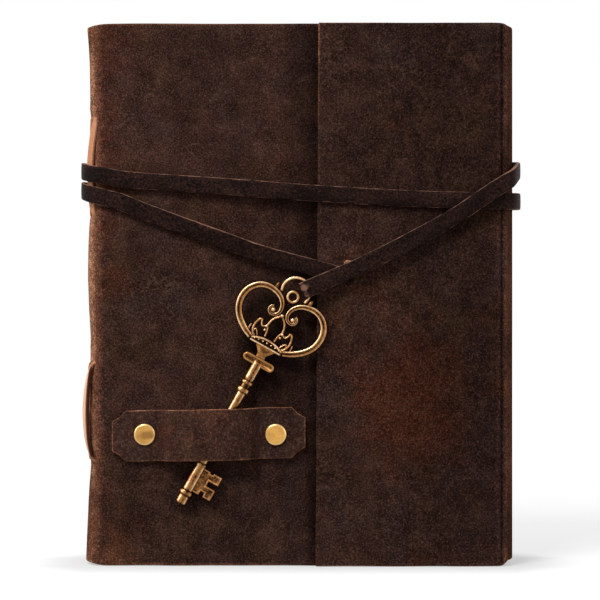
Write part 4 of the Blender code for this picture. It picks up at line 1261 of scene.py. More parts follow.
def signature_x(k):
    room = SPINE_ROUND - LEATHER - CLEAR - SIG_R
    return HINGE_X - math.sqrt(max(0.0, room**2 - past_straight(signature_y(k)) ** 2))


def rounded_path(points, radius):
    """A line through points whose corners are rounded."""
    path = [Vector(points[0])]
    for a, b, c in zip(points, points[1:], points[2:]):
        a, b, c = Vector(a), Vector(b), Vector(c)
        first, last = b + (a - b).normalized() * radius, b + (c - b).normalized() * radius
        for u in (0.0, 0.25, 0.5, 0.75, 1.0):
            path.append(first * (1 - u) ** 2 + b * 2 * u * (1 - u) + last * u * u)
    return [*path, Vector(points[-1])]


def thong_line(k):
    """The path of a thong, with its lean round the spine as a fourth value."""
    x, y = signature_x(k), stitch_y(k)
    lean = math.copysign(math.asin(past_straight(y) / SPINE_ROUND), y)
    outside = spine_wall(y) - THONG_STAND / math.cos(lean)
    corners = [(x, STITCH_Z[0] - THONG_TAIL)]
    for n, z in enumerate(STITCH_Z):
        pair = [(x, z), (outside, z)]
        corners += pair if n % 2 == 0 else pair[::-1]
    corners.append((x, STITCH_Z[-1] + THONG_TAIL))
    fine = Line(rounded_path(corners, THONG_BEND), axes=2)
    bows = {0: EASY_BOW, 2: TIGHT_BOW}
    if k == 0:
        bows = {0: SLACK_BOW, 2: FIRST_BOW}
    points = []
    for s in np.unique(np.concatenate([fine.along, np.arange(0.0, fine.length, 1.8)])):
        px, pz = fine(s)
        share_out = (x - px) / (x - outside)
        round_front = FIRST_ROUND * ease((pz - 148.0) / 17.0) if k == 0 else 0.0
        py = signature_y(k) + (y - round_front - signature_y(k)) * share_out
        moved = (spine_pull(pz) + spine_wall(y - round_front) - spine_wall(y)) * share_out
        turned = lean
        for first, bow in bows.items():
            share = (pz - STITCH_Z[first]) / (STITCH_Z[first + 1] - STITCH_Z[first])
            if abs(px - outside) < 1e-3 and 0.0 < share < 1.0:
                swell = math.sin(math.pi * share)
                px -= bow * swell ** (0.5 if first == 0 else 0.6)
                if k == 0:
                    turned = lean * (0.2 + 0.8 * swell if first == 0 else 1.0)
        points.append((px + moved, py, pz, turned))
    return Line(points, axes=3)


# %% The thongs
THONG_CUT_ROUND = 0.25
PINCH = 0.55
PINCH_REACH = 2.2


def thong(k):
    line = thong_line(k)

    def place(u, out, s):
        x, y, z, lean = line(s)
        across = Vector((math.sin(lean), math.cos(lean), 0.0))
        wave = 0.12 * grain(9.0, s, k * 20.0, 0.0)
        pinch = 1.0 - PINCH * max(hump(z - hole, PINCH_REACH) for hole in STITCH_Z)
        out_way = across.cross(Vector(line.way(s, 0.3)))
        return at(*(Vector((x, y, z)) + across * (u * pinch + wave) + out_way * out))

    def wear(u, raw, s):
        z = line(s)[2]
        slack = ease((z - STITCH_Z[0]) / 4.0) * ease((STITCH_Z[1] - z) / 4.0) if k == 0 else 0.0
        # Painted shade on the slack stitch's inner edge, painted highlight on its outer edge.
        painted_shade_and_light = 2.2 * ease((-0.3 - u) / 0.9) - 1.3 * ease((u + 0.8) / 0.7)
        return raw * (1.0 - slack) + painted_shade_and_light * slack

    outline = strip_outline(THONG_WIDTH, THONG_THICK, THONG_CUT_ROUND)
    return strip(f"thong_{k + 1}", outline, list(line.along), place, wear, THONG)


for k in range(SIGNATURES):
    piece = thong(k)
    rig.ride(piece, "book")
    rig.replaces(piece, f"binding_thong_{k + 1}")
    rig.slot(piece, "thong")
print("thongs sewn:", SIGNATURES)

# %% [markdown]
# ## The paper
#
# A signature is a stack of folded sheets, one inside the next. Each sheet is modelled, so the head,
# tail and fore edge show real leaves, which a block with painted stripes wouldn't. The inner sheets
# stand out further at the fore edge, because they go round a smaller fold. The first signature's outer
# leaves stop short at the front, where three single leaves turn by themselves.

# %% The paper's finish
CREAM = (0.780, 0.690, 0.535)
CREAM_DARK = (0.560, 0.440, 0.290)


def rag_paper():
    f = new_finish("rag_paper")
    broad = f.cloud(f.place(), 34.0, detail=4.0)
    fibre = f.cloud(f.place(stretch=(1.0, 1.0, 0.4)), 0.8, detail=4.0, rough=0.7)
    colour = f.mix(CREAM, CREAM_DARK, broad.band(0.5, 0.85) * 0.35)
    colour = f.mix(colour, CREAM_DARK, f.kept("wear") * 0.6)
    colour = f.shade(colour, (fibre - 0.5) * 0.22 + 1.0)
    f.set(Base_Color=colour, Normal=f.bump(fibre, 0.06, strength=0.6))
    return f.set(Roughness=0.88, Specular_IOR_Level=0.2)


PAPER = rag_paper()
print("finish:", PAPER.name)

# %% The signatures
PAGE_LOW = 2.5
PAGE_HIGH = HIDE_HEIGHT - 2.5
PAGE_X = 66.35
FOLIOS = 8
FOLIO_THICK = 0.27
PAPER_ROUND = 0.05
LEAVES = 3
LEAF_THICK = 0.4
LEAF_PAPER = 0.32
LEAF_GAP = 0.75
RAGGED = 0.25
PAGE_LEAD = (0.0, 0.5, 2.0)
PAGE_ROWS = grid_lines(PAGE_LOW, PAGE_HIGH, 9.0, lead=PAGE_LEAD)


def leaf_root(i):
    return HINGE_X + 6.0 + i * 2.5


def page_wear(from_side, z):
    return max(0.0, 1.0 - min(from_side, z - PAGE_LOW, PAGE_HIGH - z) / 0.6)


def ragged_end(z):
    return math.exp(-min(z - PAGE_LOW, PAGE_HIGH - z) / 1.5)


def folio_grid(k, n):
    """One folded sheet: from the fore edge along the back, round the fold and along the front."""
    x, y = signature_x(k), signature_y(k)
    radius = SIG_R * (1 - n / FOLIOS)
    reach = PAGE_X + 1.2 * n / FOLIOS
    front = leaf_root(n // 2) - LEAF_GAP if k == 0 and n < 2 * LEAVES else reach
    back_run = [(reach, y + radius), (0.5 * (reach + x), y + radius)]
    front_run = [(0.5 * (front + x), y - radius), (front, y - radius)]
    line = Line([*back_run, *arc(x, y, radius, 90, 270, 9), *front_run], axes=2)

    def place(s, z):
        px, py = line(s)
        ragged = RAGGED * grain(7.0, s, z, n * 5.0 + k * 31.0)
        edge = 1.0 if min(s, line.length - s) < 0.3 else 0.0
        return at(px + ragged * edge, py, z + ragged * ragged_end(z))

    def wear(s, z):
        return page_wear(min(s, line.length - s), z)

    runs = sorted({0.0, 0.6, *line.along, line.length - 0.6})
    return runs, PAGE_ROWS, place, wear


for k in range(SIGNATURES):
    folios = [folio_grid(k, n) for n in range(FOLIOS)]
    piece = sheet(f"signature_{k + 1}_folios", folios, FOLIO_THICK, PAPER_ROUND, PAPER)
    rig.ride(piece, "book")
    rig.replaces(piece, f"signature_{k + 1}")
    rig.slot(piece, "paper")
print("paper:", SIGNATURES * FOLIOS, "folded sheets")


# %% The turning leaves
def leaf(i):
    y = signature_y(0) - SIG_R + i * (LEAF_THICK + CLEAR)

    def place(x, z):
        ragged = RAGGED * grain(6.0, x, z, 70.0 + i)
        edge = math.exp((x - PAGE_X) / 1.5)
        return at(x - abs(ragged) * edge, y, z + ragged * ragged_end(z))

    def wear(x, z):
        return page_wear(PAGE_X - x, z)

    columns = grid_lines(leaf_root(i), PAGE_X, 6.0, lead=PAGE_LEAD)
    grids = [(columns, PAGE_ROWS, place, wear)]
    return sheet(f"turning_leaf_{i + 1}", grids, LEAF_PAPER, PAPER_ROUND, PAPER)


for i, body in enumerate(("first_leaf", "second_leaf", "third_leaf")):
    piece = leaf(i)
    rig.ride(piece, body)
    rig.replaces(piece, f"leaf_{i + 1}")
    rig.slot(piece, "paper")
print("turning leaves:", LEAVES)

# %% [markdown]
# ## The keeper strap
#
# The keeper is a strap of the same hide with clipped corners, riveted to the cover at both ends. It
# stands off the cover in the middle, where the key's shank passes under it, and is a little askew. It
# is a sheet as the hide is, because a bent grid keeps its thickness even along the arch.

# %% The keeper
KEEPER_X = -33.6
KEEPER_Z = 48.5
KEEPER_LENGTH = 71.2
KEEPER_THICK = 1.8
KEEPER_ROUND = 0.4
KEEPER_FLAT = (9.6, 11.3)
KEEPER_RAMP_END = 19.3
KEEPER_SKEW = 0.022
SHANK_R = 1.75
KEY_PASS = 40.0
TUNNEL = COLLAR_R + SHANK_R + 2 * CLEAR + math.sin(KEY_TILT) * KEY_PASS
KEEPER_CLIP = ((0.0, 5.5), (2.85, 7.1), (5.0, 9.4))


def keeper_lift(x):
    flat = KEEPER_FLAT[1] if x > 0 else KEEPER_FLAT[0]
    return CLEAR + (TUNNEL - CLEAR) * ease((KEEPER_RAMP_END - abs(x)) / (KEEPER_RAMP_END - flat))


def keeper_half(x):
    """Half the strap's height, less at its clipped corners."""
    return float(np.interp(KEEPER_LENGTH / 2 - abs(x), *zip(*KEEPER_CLIP)))


def keeper_place(x, share):
    slope = (keeper_lift(x + 0.2) - keeper_lift(x - 0.2)) / 0.4
    run = math.hypot(1.0, slope)
    height = share * keeper_half(x) + KEEPER_SKEW * x + 0.14 * grain(13.0, x, share * 30.0, 6.0)
    side = -KEEPER_THICK * slope / run
    return at(KEEPER_X + x + side, -HALF - keeper_lift(x) - KEEPER_THICK / run, KEEPER_Z + height)


def keeper_wear_and_light(x, share):
    edge = min(KEEPER_LENGTH / 2 - abs(x), (1.0 - abs(share)) * keeper_half(x))
    # Painted highlight on the strap's raised middle.
    middle_highlight = 0.25 * hump(x, 14.0) * (1.0 + grain(8.0, x, share * 9.0, 2.0))
    return max(0.85 * hump(edge, 0.35) * (1.0 + 0.4 * grain(7.0, x, share * 20.0, 1.0)), middle_highlight)


clip_lines = [side * (KEEPER_LENGTH / 2 - inset) for side in (-1, 1) for inset, half in KEEPER_CLIP[1:]]
keeper_columns = sorted({*grid_lines(-KEEPER_LENGTH / 2, KEEPER_LENGTH / 2, 1.4), *clip_lines})
keeper_rows = (-1.0, -0.96, -0.9, -0.7, -0.35, 0.0, 0.35, 0.7, 0.9, 0.96, 1.0)
keeper_grid = [(keeper_columns, keeper_rows, keeper_place, keeper_wear_and_light)]
keeper = sheet("keeper_strap", keeper_grid, KEEPER_THICK, KEEPER_ROUND, KEEPER_HIDE)
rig.ride(keeper, "front")
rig.replaces(keeper, "key_keeper")
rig.slot(keeper, "hide")
print("keeper stands", round(TUNNEL, 2), "mm off the cover")

# %% [markdown]
# ## Brass
#
# The rivets are polished, with a painted highlight on the rim, and one is smudged in the middle. The key's
# brass carries a painted highlight where it faces the front and a little left, painted shade where it
# faces away, and dark patina in its hollows. So each point keeps how far it faces the front and whether it
# lies in a hollow, and the finish reads that.

# %% Brass finishes
# The rivets' rim colour is a painted highlight.
RIM_HIGHLIGHT_BRASS = (0.800, 0.550, 0.255)
RIVET_BRASS = (0.645, 0.345, 0.088)
RIVET_SMUDGE = (0.230, 0.110, 0.035)
# The key's painted highlight, its middle tone, and its painted shade and dark patina.
BRIGHT_BRASS = (0.760, 0.515, 0.290)
MID_BRASS = (0.300, 0.130, 0.040)
DARK_BRASS = (0.012, 0.005, 0.003)


def rivet_brass():
    f = new_finish("rivet_brass")
    broad = f.cloud(f.place(stretch=(0.6, 1.0, 1.4)), 2.4, detail=4.0)
    fine = f.cloud(f.place(stretch=(1.0, 1.0, 0.15)), 0.5, detail=3.0)
    smudge = (f.kept("hollow") + (broad - 0.5) * 1.2).band(0.15, 0.95)
    colour = f.mix(RIVET_BRASS, RIVET_SMUDGE, smudge * 0.85)
    # The rim's painted highlight.
    colour = f.mix(colour, RIM_HIGHLIGHT_BRASS, f.kept("wear") * 0.8)
    f.set(Base_Color=colour, Roughness=0.32 + (fine - 0.5) * 0.25)
    f.set(Normal=f.bump(fine, 0.02, strength=0.5))
    return f.set(Metallic=1.0)


def antique_brass():
    f = new_finish("antique_brass")
    broad = f.cloud(f.place(), 5.0, detail=5.0, rough=0.65)
    fine = f.cloud(f.place(), 0.7, detail=3.0, rough=0.7)
    # The kept value is the key's painted highlight and shade, less in hollows with patina, plus noise.
    rubbed_and_lit = f.kept("wear") + (broad - 0.5) * 0.8 + (fine - 0.5) * 0.6
    colour = f.mix(DARK_BRASS, MID_BRASS, rubbed_and_lit.band(0.24, 0.66))
    colour = f.mix(colour, BRIGHT_BRASS, rubbed_and_lit.band(0.74, 1.12))
    f.set(Base_Color=colour, Roughness=0.32 + (broad - 0.5) * 0.3)
    f.set(Normal=f.bump(fine * 0.6 + broad, 0.05, strength=0.6))
    return f.set(Metallic=1.0)


POLISHED = rivet_brass()
ANTIQUE = antique_brass()
print("finishes:", POLISHED.name, ANTIQUE.name)

# %% [markdown]
# ## Turned pieces
#
# Rivets and the key's shank are turned: a profile of radius and height is spun once about its axis, as
# on a lathe. Cylinders set end to end would leave faces inside.


# %% Turned shapes
def spin_profile(bm, profile, steps):
    """A closed turned shape about Z from a profile of radius and height."""
    verts = [bm.verts.new((r, 0.0, z)) for r, z in profile]
    edges = [bm.edges.new(pair) for pair in zip(verts, verts[1:])]
    bmesh.ops.spin(
        bm,
        geom=[*verts, *edges],
        cent=(0.0, 0.0, 0.0),
        axis=(0.0, 0.0, 1.0),
        angle=math.tau,
        steps=steps,
        use_merge=True,
    )
    bmesh.ops.remove_doubles(bm, verts=bm.verts, dist=1e-5)


def brass_piece(name, bm, place, material, sharp):
    """A bmesh in millimetres, put in its place and shown."""
    bmesh.ops.transform(bm, matrix=place, verts=bm.verts)
    for vert in bm.verts:
        vert.co = at(*vert.co)
    return show(name, bm, material, sharp)


# %% Rivets
RIVET_X = (-57.15, -8.95)
RIVET_SEAT = CLEAR + KEEPER_THICK + CLEAR
CAP_RIM_R = 3.75
LEFT_SMUDGE = 0.5
RIGHT_SMUDGE = 0.34
STREAK = 0.6
CAP_PROFILE = (
    (0.0, 0.9),
    (0.6, 0.898),
    (1.2, 0.89),
    (1.8, 0.88),
    (2.4, 0.86),
    (2.9, 0.83),
    (3.3, 0.78),
    (3.6, 0.68),
    (3.85, 0.5),
    (4.02, 0.28),
    (4.08, 0.1),
    (3.95, 0.0),
    (1.3, 0.0),
    (1.3, -3.9),
    (0.0, -3.9),
)
BACK_PROFILE = ((1.45, 0.8), (3.2, 0.8), (3.4, 0.62), (3.4, 0.25), (3.15, 0.0), (1.45, 0.0), (1.45, 0.8))
FACE_OUT = Matrix.Rotation(math.pi / 2, 4, "X")
for side, x in zip(("left", "right"), RIVET_X):
    shapes = (
        ("rivet_cap_", CAP_PROFILE, -HALF - RIVET_SEAT),
        ("rivet_back_", BACK_PROFILE, -HALF + LEATHER + 0.2),
    )
    for label, profile, y in shapes:
        bm = bmesh.new()
        spin_profile(bm, profile, 64)
        bmesh.ops.recalc_face_normals(bm, faces=bm.faces)
        rim, smudge = layer(bm, "wear"), layer(bm, "hollow")
        for vert in bm.verts:
            # Painted highlight round the cap's rim.
            vert[rim] = hump(math.hypot(vert.co.x, vert.co.y) - CAP_RIM_R, 0.3)
            streak = hump(vert.co.y + 0.1 * vert.co.x, 1.3) * hump(vert.co.x - 0.9, 2.4)
            vert[smudge] = LEFT_SMUDGE + STREAK * streak if side == "left" else RIGHT_SMUDGE
        place = Matrix.Translation((x, y, KEEPER_Z)) @ FACE_OUT
        piece = brass_piece(label + side + "_turned", bm, place, POLISHED, sharp=50.0)
        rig.ride(piece, "front")
        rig.replaces(piece, label + side)
        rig.slot(piece, "rivet")
print("rivets at", RIVET_X)

# %% [markdown]
# ## The key's shank, bit and bar
#
# The key is cast in one piece. Its shank is turned: a plain end, a collar, a thicker barrel that
# carries the bit, a long stem and two rings under the bar. The bit is a plate with steps cut in it.
# The bit and the bar have sunk faces inside a raised rim. Such a plate is an outline that is extruded,
# rounded and inset twice, because cutting the steps out of a box would take a boolean for each.

# %% Shank
KEY_PLACE = Matrix.Translation(KEY_TIP) @ KEY_TURN
BAR_T = 59.35
BOW_SHIFT = -0.6


def ring_profile(t, length, radius, root):
    half = length / 2
    steps = [math.pi * i / 10 for i in range(1, 10)]
    bulge = [(root + (radius - root) * math.sin(a) ** 0.5, t + half * math.cos(a)) for a in steps]
    return [(root, t + half), *bulge, (root, t - half)]


def shank_painted_light(side):
    """Painted highlights in two lines along the shank, with a darker painted line left between them."""
    lines = 0.34 * hump(side + 0.5, 0.22) + 0.36 * hump(side - 0.64, 0.17)
    return 0.68 + lines - 0.27 * hump(side - 0.15, 0.22)


def neck_painted_light(side):
    """Painted highlights along both sides of the neck."""
    return 0.62 + 0.35 * hump(side + 0.7, 0.22) + 0.3 * hump(side - 0.75, 0.18)


def show_key(name, bm, sharp=40.0, shift=0.0, tone=None):
    """A bmesh in the key's own frame, with a painted highlight where it faces the front and a little left."""
    bmesh.ops.recalc_face_normals(bm, faces=bm.faces)
    bm.normal_update()
    wear, hollow = layer(bm, "wear"), layer(bm, "hollow")
    for vert in bm.verts:
        side, front = vert.normal.x, -vert.normal.y
        # Painted highlight and shade: bright where a point faces the front and the left, dark where it faces away.
        painted_light = ease((front - 0.05) / 0.95) ** 1.3 * (1.0 - 0.4 * side)
        if tone:
            painted_light = ease((front - 0.02) / 0.4) * tone(side) * (1.0 - 0.6 * abs(vert.normal.z))
        vert[wear] = painted_light * (1.0 - vert[hollow])
    piece = brass_piece(name, bm, KEY_PLACE @ Matrix.Translation((shift, 0.0, 0.0)), ANTIQUE, sharp)
    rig.ride(piece, "key_body")
    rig.slot(piece, "key")
    return piece


shank_profile = [(0.0, BAR_T), (2.05, BAR_T), (2.05, 58.9), (2.05, 52.7), (2.05, 52.3)]
shank_profile += ring_profile(50.8, 1.5, 2.45, SHANK_R)
shank_profile += ring_profile(47.7, 2.1, 2.6, SHANK_R)
shank_profile += [(SHANK_R, 46.2), (1.65, 17.4), (1.65, 17.0), (2.25, 16.6), (2.25, 15.9), (2.1, 15.6)]
shank_profile += [(2.1, 15.2), (2.1, 6.1), (2.1, 5.7)]
shank_profile += ring_profile(TIP_LENGTH + 1.0, 2.0, COLLAR_R, 1.9)
shank_profile += [(2.15, 3.3), (2.15, 2.9), (2.15, 0.8), (2.15, 0.45), (2.02, 0.12), (1.75, 0.0)]
shank_profile += [(1.0, 0.0), (0.9, 0.5), (0.0, 0.6)]
bm = bmesh.new()
spin_profile(bm, shank_profile, 40)
shank = show_key("key_shank", bm, tone=shank_painted_light)
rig.replaces(shank, "key")
print("shank:", len(shank.data.polygons), "faces")


# %% Plates with a rounded edge
RIM_HOLLOW = 0.2


def plate(bm, outline, thick, rounding, rim=0.0, sunk=0.0, face_hollow=0.6):
    """A flat plate in the key's plane from an outline of across and along."""
    hollow = layer(bm, "hollow")
    face = bm.faces.new([bm.verts.new((u, -thick / 2, t)) for u, t in outline])
    made = bmesh.ops.extrude_face_region(bm, geom=[face])
    lifted = [v for v in made["geom"] if isinstance(v, bmesh.types.BMVert)]
    bmesh.ops.translate(bm, verts=lifted, vec=(0.0, thick, 0.0))
    bmesh.ops.recalc_face_normals(bm, faces=bm.faces)
    round_off(bm, [e for e in bm.edges if e.calc_face_angle(0.0) > 0.6], rounding)
    if rim == 0.0:
        return
    for vert in bm.verts:
        vert[hollow] = RIM_HOLLOW
    bm.normal_update()
    front = max((f for f in bm.faces if f.normal.y < -0.99), key=lambda f: f.calc_area())
    bmesh.ops.inset_region(bm, faces=[front], thickness=rim, depth=0.0, use_even_offset=True)
    bmesh.ops.inset_region(bm, faces=[front], thickness=0.12, depth=-sunk, use_even_offset=True)
    for vert in front.verts:
        vert[hollow] = face_hollow


# %% Bit
BIT_REACH = 9.2
BIT_ROOT = 0.76
BIT_THICK = 1.8
BIT_LOW = 5.9
BIT_HIGH = 15.5
NOTCH = (BIT_HIGH - BIT_LOW) * 0.2
BIT_MIDDLE = (BIT_HIGH + BIT_LOW) / 2 + 0.4
BIT_OUTLINE = (
    (BIT_ROOT, BIT_LOW),
    (0.48 * BIT_REACH, BIT_LOW),
    (0.48 * BIT_REACH, BIT_LOW + 0.9 * NOTCH),
    (0.65 * BIT_REACH, BIT_LOW + 0.9 * NOTCH),
    (0.65 * BIT_REACH, BIT_LOW),
    (BIT_REACH, BIT_LOW),
    (BIT_REACH, BIT_MIDDLE - NOTCH / 2),
    (0.58 * BIT_REACH, BIT_MIDDLE - NOTCH / 2),
    (0.58 * BIT_REACH, BIT_MIDDLE + NOTCH / 2),
    (BIT_REACH, BIT_MIDDLE + NOTCH / 2),
    (BIT_REACH, BIT_HIGH),
    (0.62 * BIT_REACH, BIT_HIGH),
    (0.62 * BIT_REACH, BIT_HIGH - 0.35 * NOTCH),
    (0.48 * BIT_REACH, BIT_HIGH - 0.35 * NOTCH),
    (0.48 * BIT_REACH, BIT_HIGH),
    (BIT_ROOT, BIT_HIGH),
)
bm = bmesh.new()
plate(bm, BIT_OUTLINE, BIT_THICK, 0.22, rim=0.28, sunk=0.1)
show_key("key_bit", bm, sharp=50.0)
print("bit reaches", BIT_REACH, "mm from the axis")

# %% Bar
BAR_HALF = 6.4
BAR_END = 1.7
BAR_THICK = 3.0
ends = arc(BAR_HALF - BAR_END, BAR_T, BAR_END, -80, 80, 7)
bar_outline = [*ends, *[(-u, t) for u, t in reversed(ends)]]
bm = bmesh.new()
plate(bm, bar_outline, BAR_THICK, 0.5, rim=0.25, sunk=0.15, face_hollow=0.57)
show_key("key_bar", bm, sharp=60.0)
print("bar is", 2 * BAR_HALF, "mm long")

# %% [markdown]
# ## The key's bow
#
# The bow looks like wire work: two big scrolls that make a heart, a crown inside it, a small ring and
# an arc for the lace. A bevelled curve would be quicker, but its points can't keep how deep they lie in
# a hollow. So a rod is a grid rolled into a tube along a line, with its seam merged and its ends closed.
# The scrolls have a groove along their faces, as such castings do.


# %% Rods in the key's plane
def rod(bm, points, sides=12, groove=0.0, flat=1.0, closed=False, hidden=0.0):
    """A tube along points of across, along and radius. A groove's rims get a painted highlight."""
    hollow = layer(bm, "hollow")
    line = np.array(points, float)
    count = len(line)
    laid = new_grid(bm, sides + 1, count + 1 if closed else count)
    for vert, j, i in laid:
        i, j = i % count, j % sides
        before = line[i - 1] if closed else line[max(0, i - 1)]
        after = line[(i + 1) % count] if closed else line[min(count - 1, i + 1)]
        way = after[:2] - before[:2]
        way = way / max(1e-9, np.linalg.norm(way))
        a = math.tau * j / sides
        dip = groove * hump(math.cos(a), 0.45)
        side = line[i][2] * math.cos(a)
        out = line[i][2] * flat * math.sin(a) * (1.0 - 0.4 * dip)
        vert.co = (line[i][0] - way[1] * side, out, line[i][1] + way[0] * side)
        # Painted highlight on the two rims of a groove.
        rim = 0.28 * hump(abs(math.cos(a)) - 0.72, 0.2) if groove else 0.0
        vert[hollow] = max(hidden, dip) - rim
    bmesh.ops.remove_doubles(bm, verts=[vert for vert, j, i in laid], dist=1e-5)
    rims = [e for e in bm.edges if e.is_boundary]
    if rims:
        bmesh.ops.holes_fill(bm, edges=rims, sides=0)


def ball(bm, u, t, radius, out=0.0):
    place = Matrix.Translation((u, -out, t))
    bmesh.ops.create_uvsphere(bm, u_segments=16, v_segments=10, radius=radius, matrix=place)


def both_sides(bm, points, per_span=6, **options):
    """A rod along a smooth line, and its mirror image."""
    line = smooth_line(points, per_span, axes=2)
    rod(bm, line, **options)
    rod(bm, [(-u, t, r) for u, t, r in line], **options)


def both_balls(bm, u, t, radius):
    ball(bm, u, t, radius)
    ball(bm, -u, t, radius)


# %% Scrolls
SCROLL = (
    (6.7, 66.2, 1.05),
    (10.0, 67.8, 1.2),
    (13.6, 70.6, 1.3),
    (15.8, 73.9, 1.3),
    (16.5, 78.0, 1.3),
    (15.5, 81.7, 1.28),
    (12.9, 84.5, 1.22),
    (9.8, 85.6, 1.15),
    (6.4, 85.3, 1.05),
    (3.8, 84.1, 0.95),
    (2.2, 82.3, 0.85),
    (1.55, 80.4, 0.75),
    (1.75, 78.7, 0.66),
    (2.8, 77.5, 0.6),
    (4.4, 77.2, 0.56),
    (5.5, 78.2, 0.52),
    (5.35, 79.6, 0.48),
    (4.4, 80.2, 0.45),
)
SCROLL_FULL = 1.08
NUB = ((6.9, 86.2, 0.85), (6.95, 87.4, 0.95), (6.95, 88.5, 0.6))
bm = bmesh.new()
both_sides(bm, [(u, t, SCROLL_FULL * r) for u, t, r in SCROLL], sides=24, groove=0.75)
both_balls(bm, 4.1, 78.8, 1.05)
both_sides(bm, NUB, hidden=0.6)
rod(bm, [(-2.4, 82.5, 0.6), (0.0, 82.7, 0.6), (2.4, 82.5, 0.6)], hidden=0.9)
scrolls = show_key("key_scrolls", bm, shift=BOW_SHIFT)
print("scrolls:", len(scrolls.data.polygons), "faces")

# %% Neck
NECK = ((4.6, 65.6), (3.3, 64.2), (2.2, 62.6), (1.8, 61.5), (2.0, BAR_T))
bm = bmesh.new()
spin_profile(bm, [(0.0, NECK[0][1]), *smooth_line(NECK, 5, axes=2), (0.0, BAR_T)], 32)
for vert in bm.verts:
    vert.co.y *= 0.5 - 0.4 * ease((vert.co.z - 62.4) / 2.6)
neck = show_key("key_neck", bm, shift=0.5 * BOW_SHIFT, tone=neck_painted_light)
print("neck:", len(neck.data.polygons), "faces")

# %% Band and crown
BAND_HALF = 6.3
BAND_LOW = 65.4
BAND_THICK = 0.8
CROWN_FINE = 0.8


def band_top(u):
    return 66.3 + 1.6 * (1 - (u / BAND_HALF) ** 2)


bm = bmesh.new()
across = np.linspace(-BAND_HALF, BAND_HALF, 25)
band_outline = [(u, band_top(u)) for u in across[::-1]]
plate(bm, [(-BAND_HALF, BAND_LOW), (BAND_HALF, BAND_LOW), *band_outline], BAND_THICK, 0.1)
for vert in bm.verts:
    vert[layer(bm, "hollow")] = 0.95
rod(bm, [(u, band_top(u), 0.55) for u in across], flat=1.2)
rod(bm, [(u, BAND_LOW, 0.5) for u in across], flat=1.2)
for n in range(-3, 4):
    ball(bm, 1.7 * n, 66.57 + 0.3 * (1 - (n / 3) ** 2), 0.42, out=0.45)
LOOP = (
    (6.1, 67.0, 0.6),
    (7.1, 68.6, 0.6),
    (7.5, 70.4, 0.6),
    (7.2, 72.2, 0.58),
    (6.6, 73.5, 0.58),
    (5.9, 73.8, 0.56),
    (5.5, 72.6, 0.54),
    (4.7, 71.7, 0.52),
    (3.4, 72.3, 0.52),
)
OUTER_LEAF = ((7.2, 66.7, 0.42), (8.7, 68.5, 0.42), (8.6, 70.5, 0.36))
TALL_LEAF = ((3.1, 72.4, 0.58), (2.9, 74.2, 0.58), (2.2, 76.0, 0.56), (0.5, 77.8, 0.54))
STRUT = ((2.8, 72.4, 0.5), (2.2, 70.6, 0.5), (2.0, 68.6, 0.5))
ALMOND = (
    (4.7, 67.6, 0.35),
    (5.5, 68.9, 0.35),
    (6.3, 69.7, 0.35),
    (6.7, 68.3, 0.35),
    (5.6, 67.2, 0.35),
)
for shape in (LOOP, OUTER_LEAF, TALL_LEAF, STRUT, ALMOND):
    both_sides(bm, [(u, t, CROWN_FINE * r) for u, t, r in shape], per_span=5, hidden=0.14)
both_balls(bm, 3.3, 72.3, 0.72)
both_balls(bm, 3.2, 70.8, 0.62)
ball(bm, 0.0, 78.3, 0.9)
crown = show_key("key_crown", bm, shift=BOW_SHIFT)
print("crown:", len(crown.data.polygons), "faces")

# %% Ring and arc
RING_T = 86.3
RING_R = 1.95
bm = bmesh.new()
turns = [math.tau * i / 32 for i in range(32)]
ring = [(RING_R * math.cos(a), RING_T + RING_R * math.sin(a), 0.62) for a in turns]
rod(bm, ring, closed=True, hidden=0.1)
rod(bm, [(0.0, RING_T - RING_R, 0.6), (0.0, 83.6, 0.62), (0.0, 82.4, 0.7)], hidden=0.9)
sweep = np.radians(np.linspace(-24, 204, 37))
rod(bm, [(ARC_R * math.cos(a), ARC_T + ARC_R * math.sin(a), 0.66) for a in sweep])
ring_and_arc = show_key("key_ring_and_arc", bm, shift=BOW_SHIFT)
print("ring and arc:", len(ring_and_arc.data.polygons), "faces")

# %% [markdown]
# ## Floor and light
#
# The journal stands on a white ground under big soft lamps: one high in front and weaker ones at the
# left and the right. The ground and the world are white to the camera and in reflections, and give
# the object a plain level of light. The ground glows more further off, where the lamps don't reach,
# and its glow is dimmed right at the journal's foot, a painted contact shadow.

# %% Floor
FLOOR_HALF = 6.0
FLOOR_DROP = 0.0002
FLOOR_GREY = (0.36, 0.36, 0.36)
NEAR_GLOW = 0.72
FAR_GLOW = 0.94
PAINTED_SHADOW_REACH = 0.03
PAINTED_SHADOW_DIM = 0.23
FOOT_HALF = (78.5, HALF)
WHITE = (1.0, 1.0, 1.0)
ground = new_finish("white_ground")
spot = ground.place()
away = ground.node("VectorMath", {"operation": "LENGTH"}, {0: spot}, out="Value")
parts = [ground.node("SeparateXYZ", {}, {0: spot}, out=axis) for axis in (0, 1)]
beyond = [(part.size() - half * MM).most(0.0) for part, half in zip(parts, FOOT_HALF)]
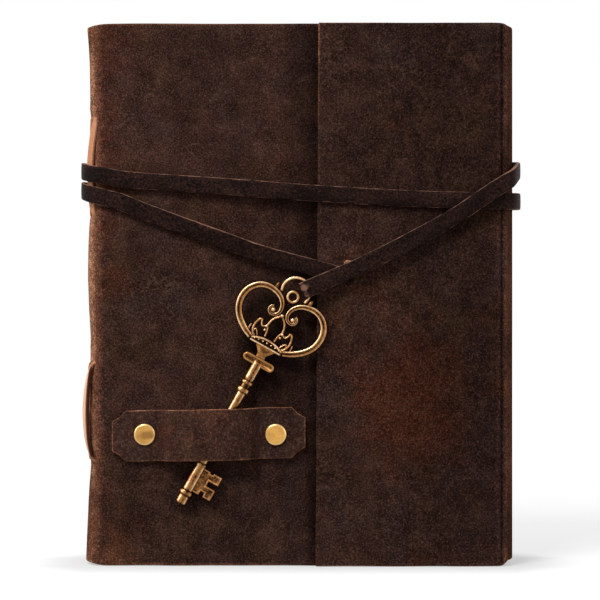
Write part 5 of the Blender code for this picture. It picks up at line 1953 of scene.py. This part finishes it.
# Painted contact shadow: the glow is dimmed within 30 mm of the journal's foot.
painted_contact_shadow = (beyond[0] + beyond[1]).band(PAINTED_SHADOW_REACH, 0.0)
glow = away.band(0.15, 1.0) * (FAR_GLOW - NEAR_GLOW) + NEAR_GLOW - painted_contact_shadow * PAINTED_SHADOW_DIM
ground.set(Emission_Color=ground.shade(WHITE, glow * ground.seen()))
ground.set(Base_Color=FLOOR_GREY, Roughness=0.9, Specular_IOR_Level=0.0, Emission_Strength=1.0)
bm = bmesh.new()
bmesh.ops.create_grid(bm, x_segments=1, y_segments=1, size=FLOOR_HALF)
bmesh.ops.translate(bm, verts=bm.verts, vec=(0.0, 0.0, -FLOOR_DROP))
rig.stage(show("floor", bm, ground.owner))
print("floor", 2 * FLOOR_HALF, "m wide")

# %% World and lamps
WORLD_LIGHT = 0.32
room = Finish(bpy.data.worlds.new("white_room"))
room.set(Color=WHITE, Strength=room.seen() * (1.0 - WORLD_LIGHT) + WORLD_LIGHT)
bpy.context.scene.world = room.owner

AIM = (0.0, 0.0, 0.1)
LAMPS = (
    ("high_front", (-0.45, -0.8, 1.05), 0.5, 12.4),
    ("left_side", (-1.05, -0.3, 0.6), 0.7, 4.2),
    ("low_right", (0.95, -0.7, 0.35), 0.8, 2.4),
)
for name, place, size, power in LAMPS:
    data = bpy.data.lights.new(name, "AREA")
    data.shape = "DISK"
    data.size = size
    data.energy = power
    lamp = bpy.data.objects.new(name, data)
    bpy.context.scene.collection.objects.link(lamp)
    lamp.location = place
    lamp.rotation_euler = (Vector(AIM) - Vector(place)).to_track_quat("-Z", "Y").to_euler()
bpy.context.scene.view_settings.view_transform = "Standard"
print("lamps:", len(LAMPS))

# %% [markdown]
# ## Closing
#
# The visual model's box is written beside the CAD model's, so the two can be compared.

# %% Sizes and the table
corners = {"cad": CAD_BOX, "visual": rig.bounds()}
sizes = {name: [list(low), list(high)] for name, (low, high) in corners.items()}
with open("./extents.json", "w") as file:
    json.dump(sizes, file)
print({name: [[round(c, 4) for c in corner] for corner in box] for name, box in sizes.items()})
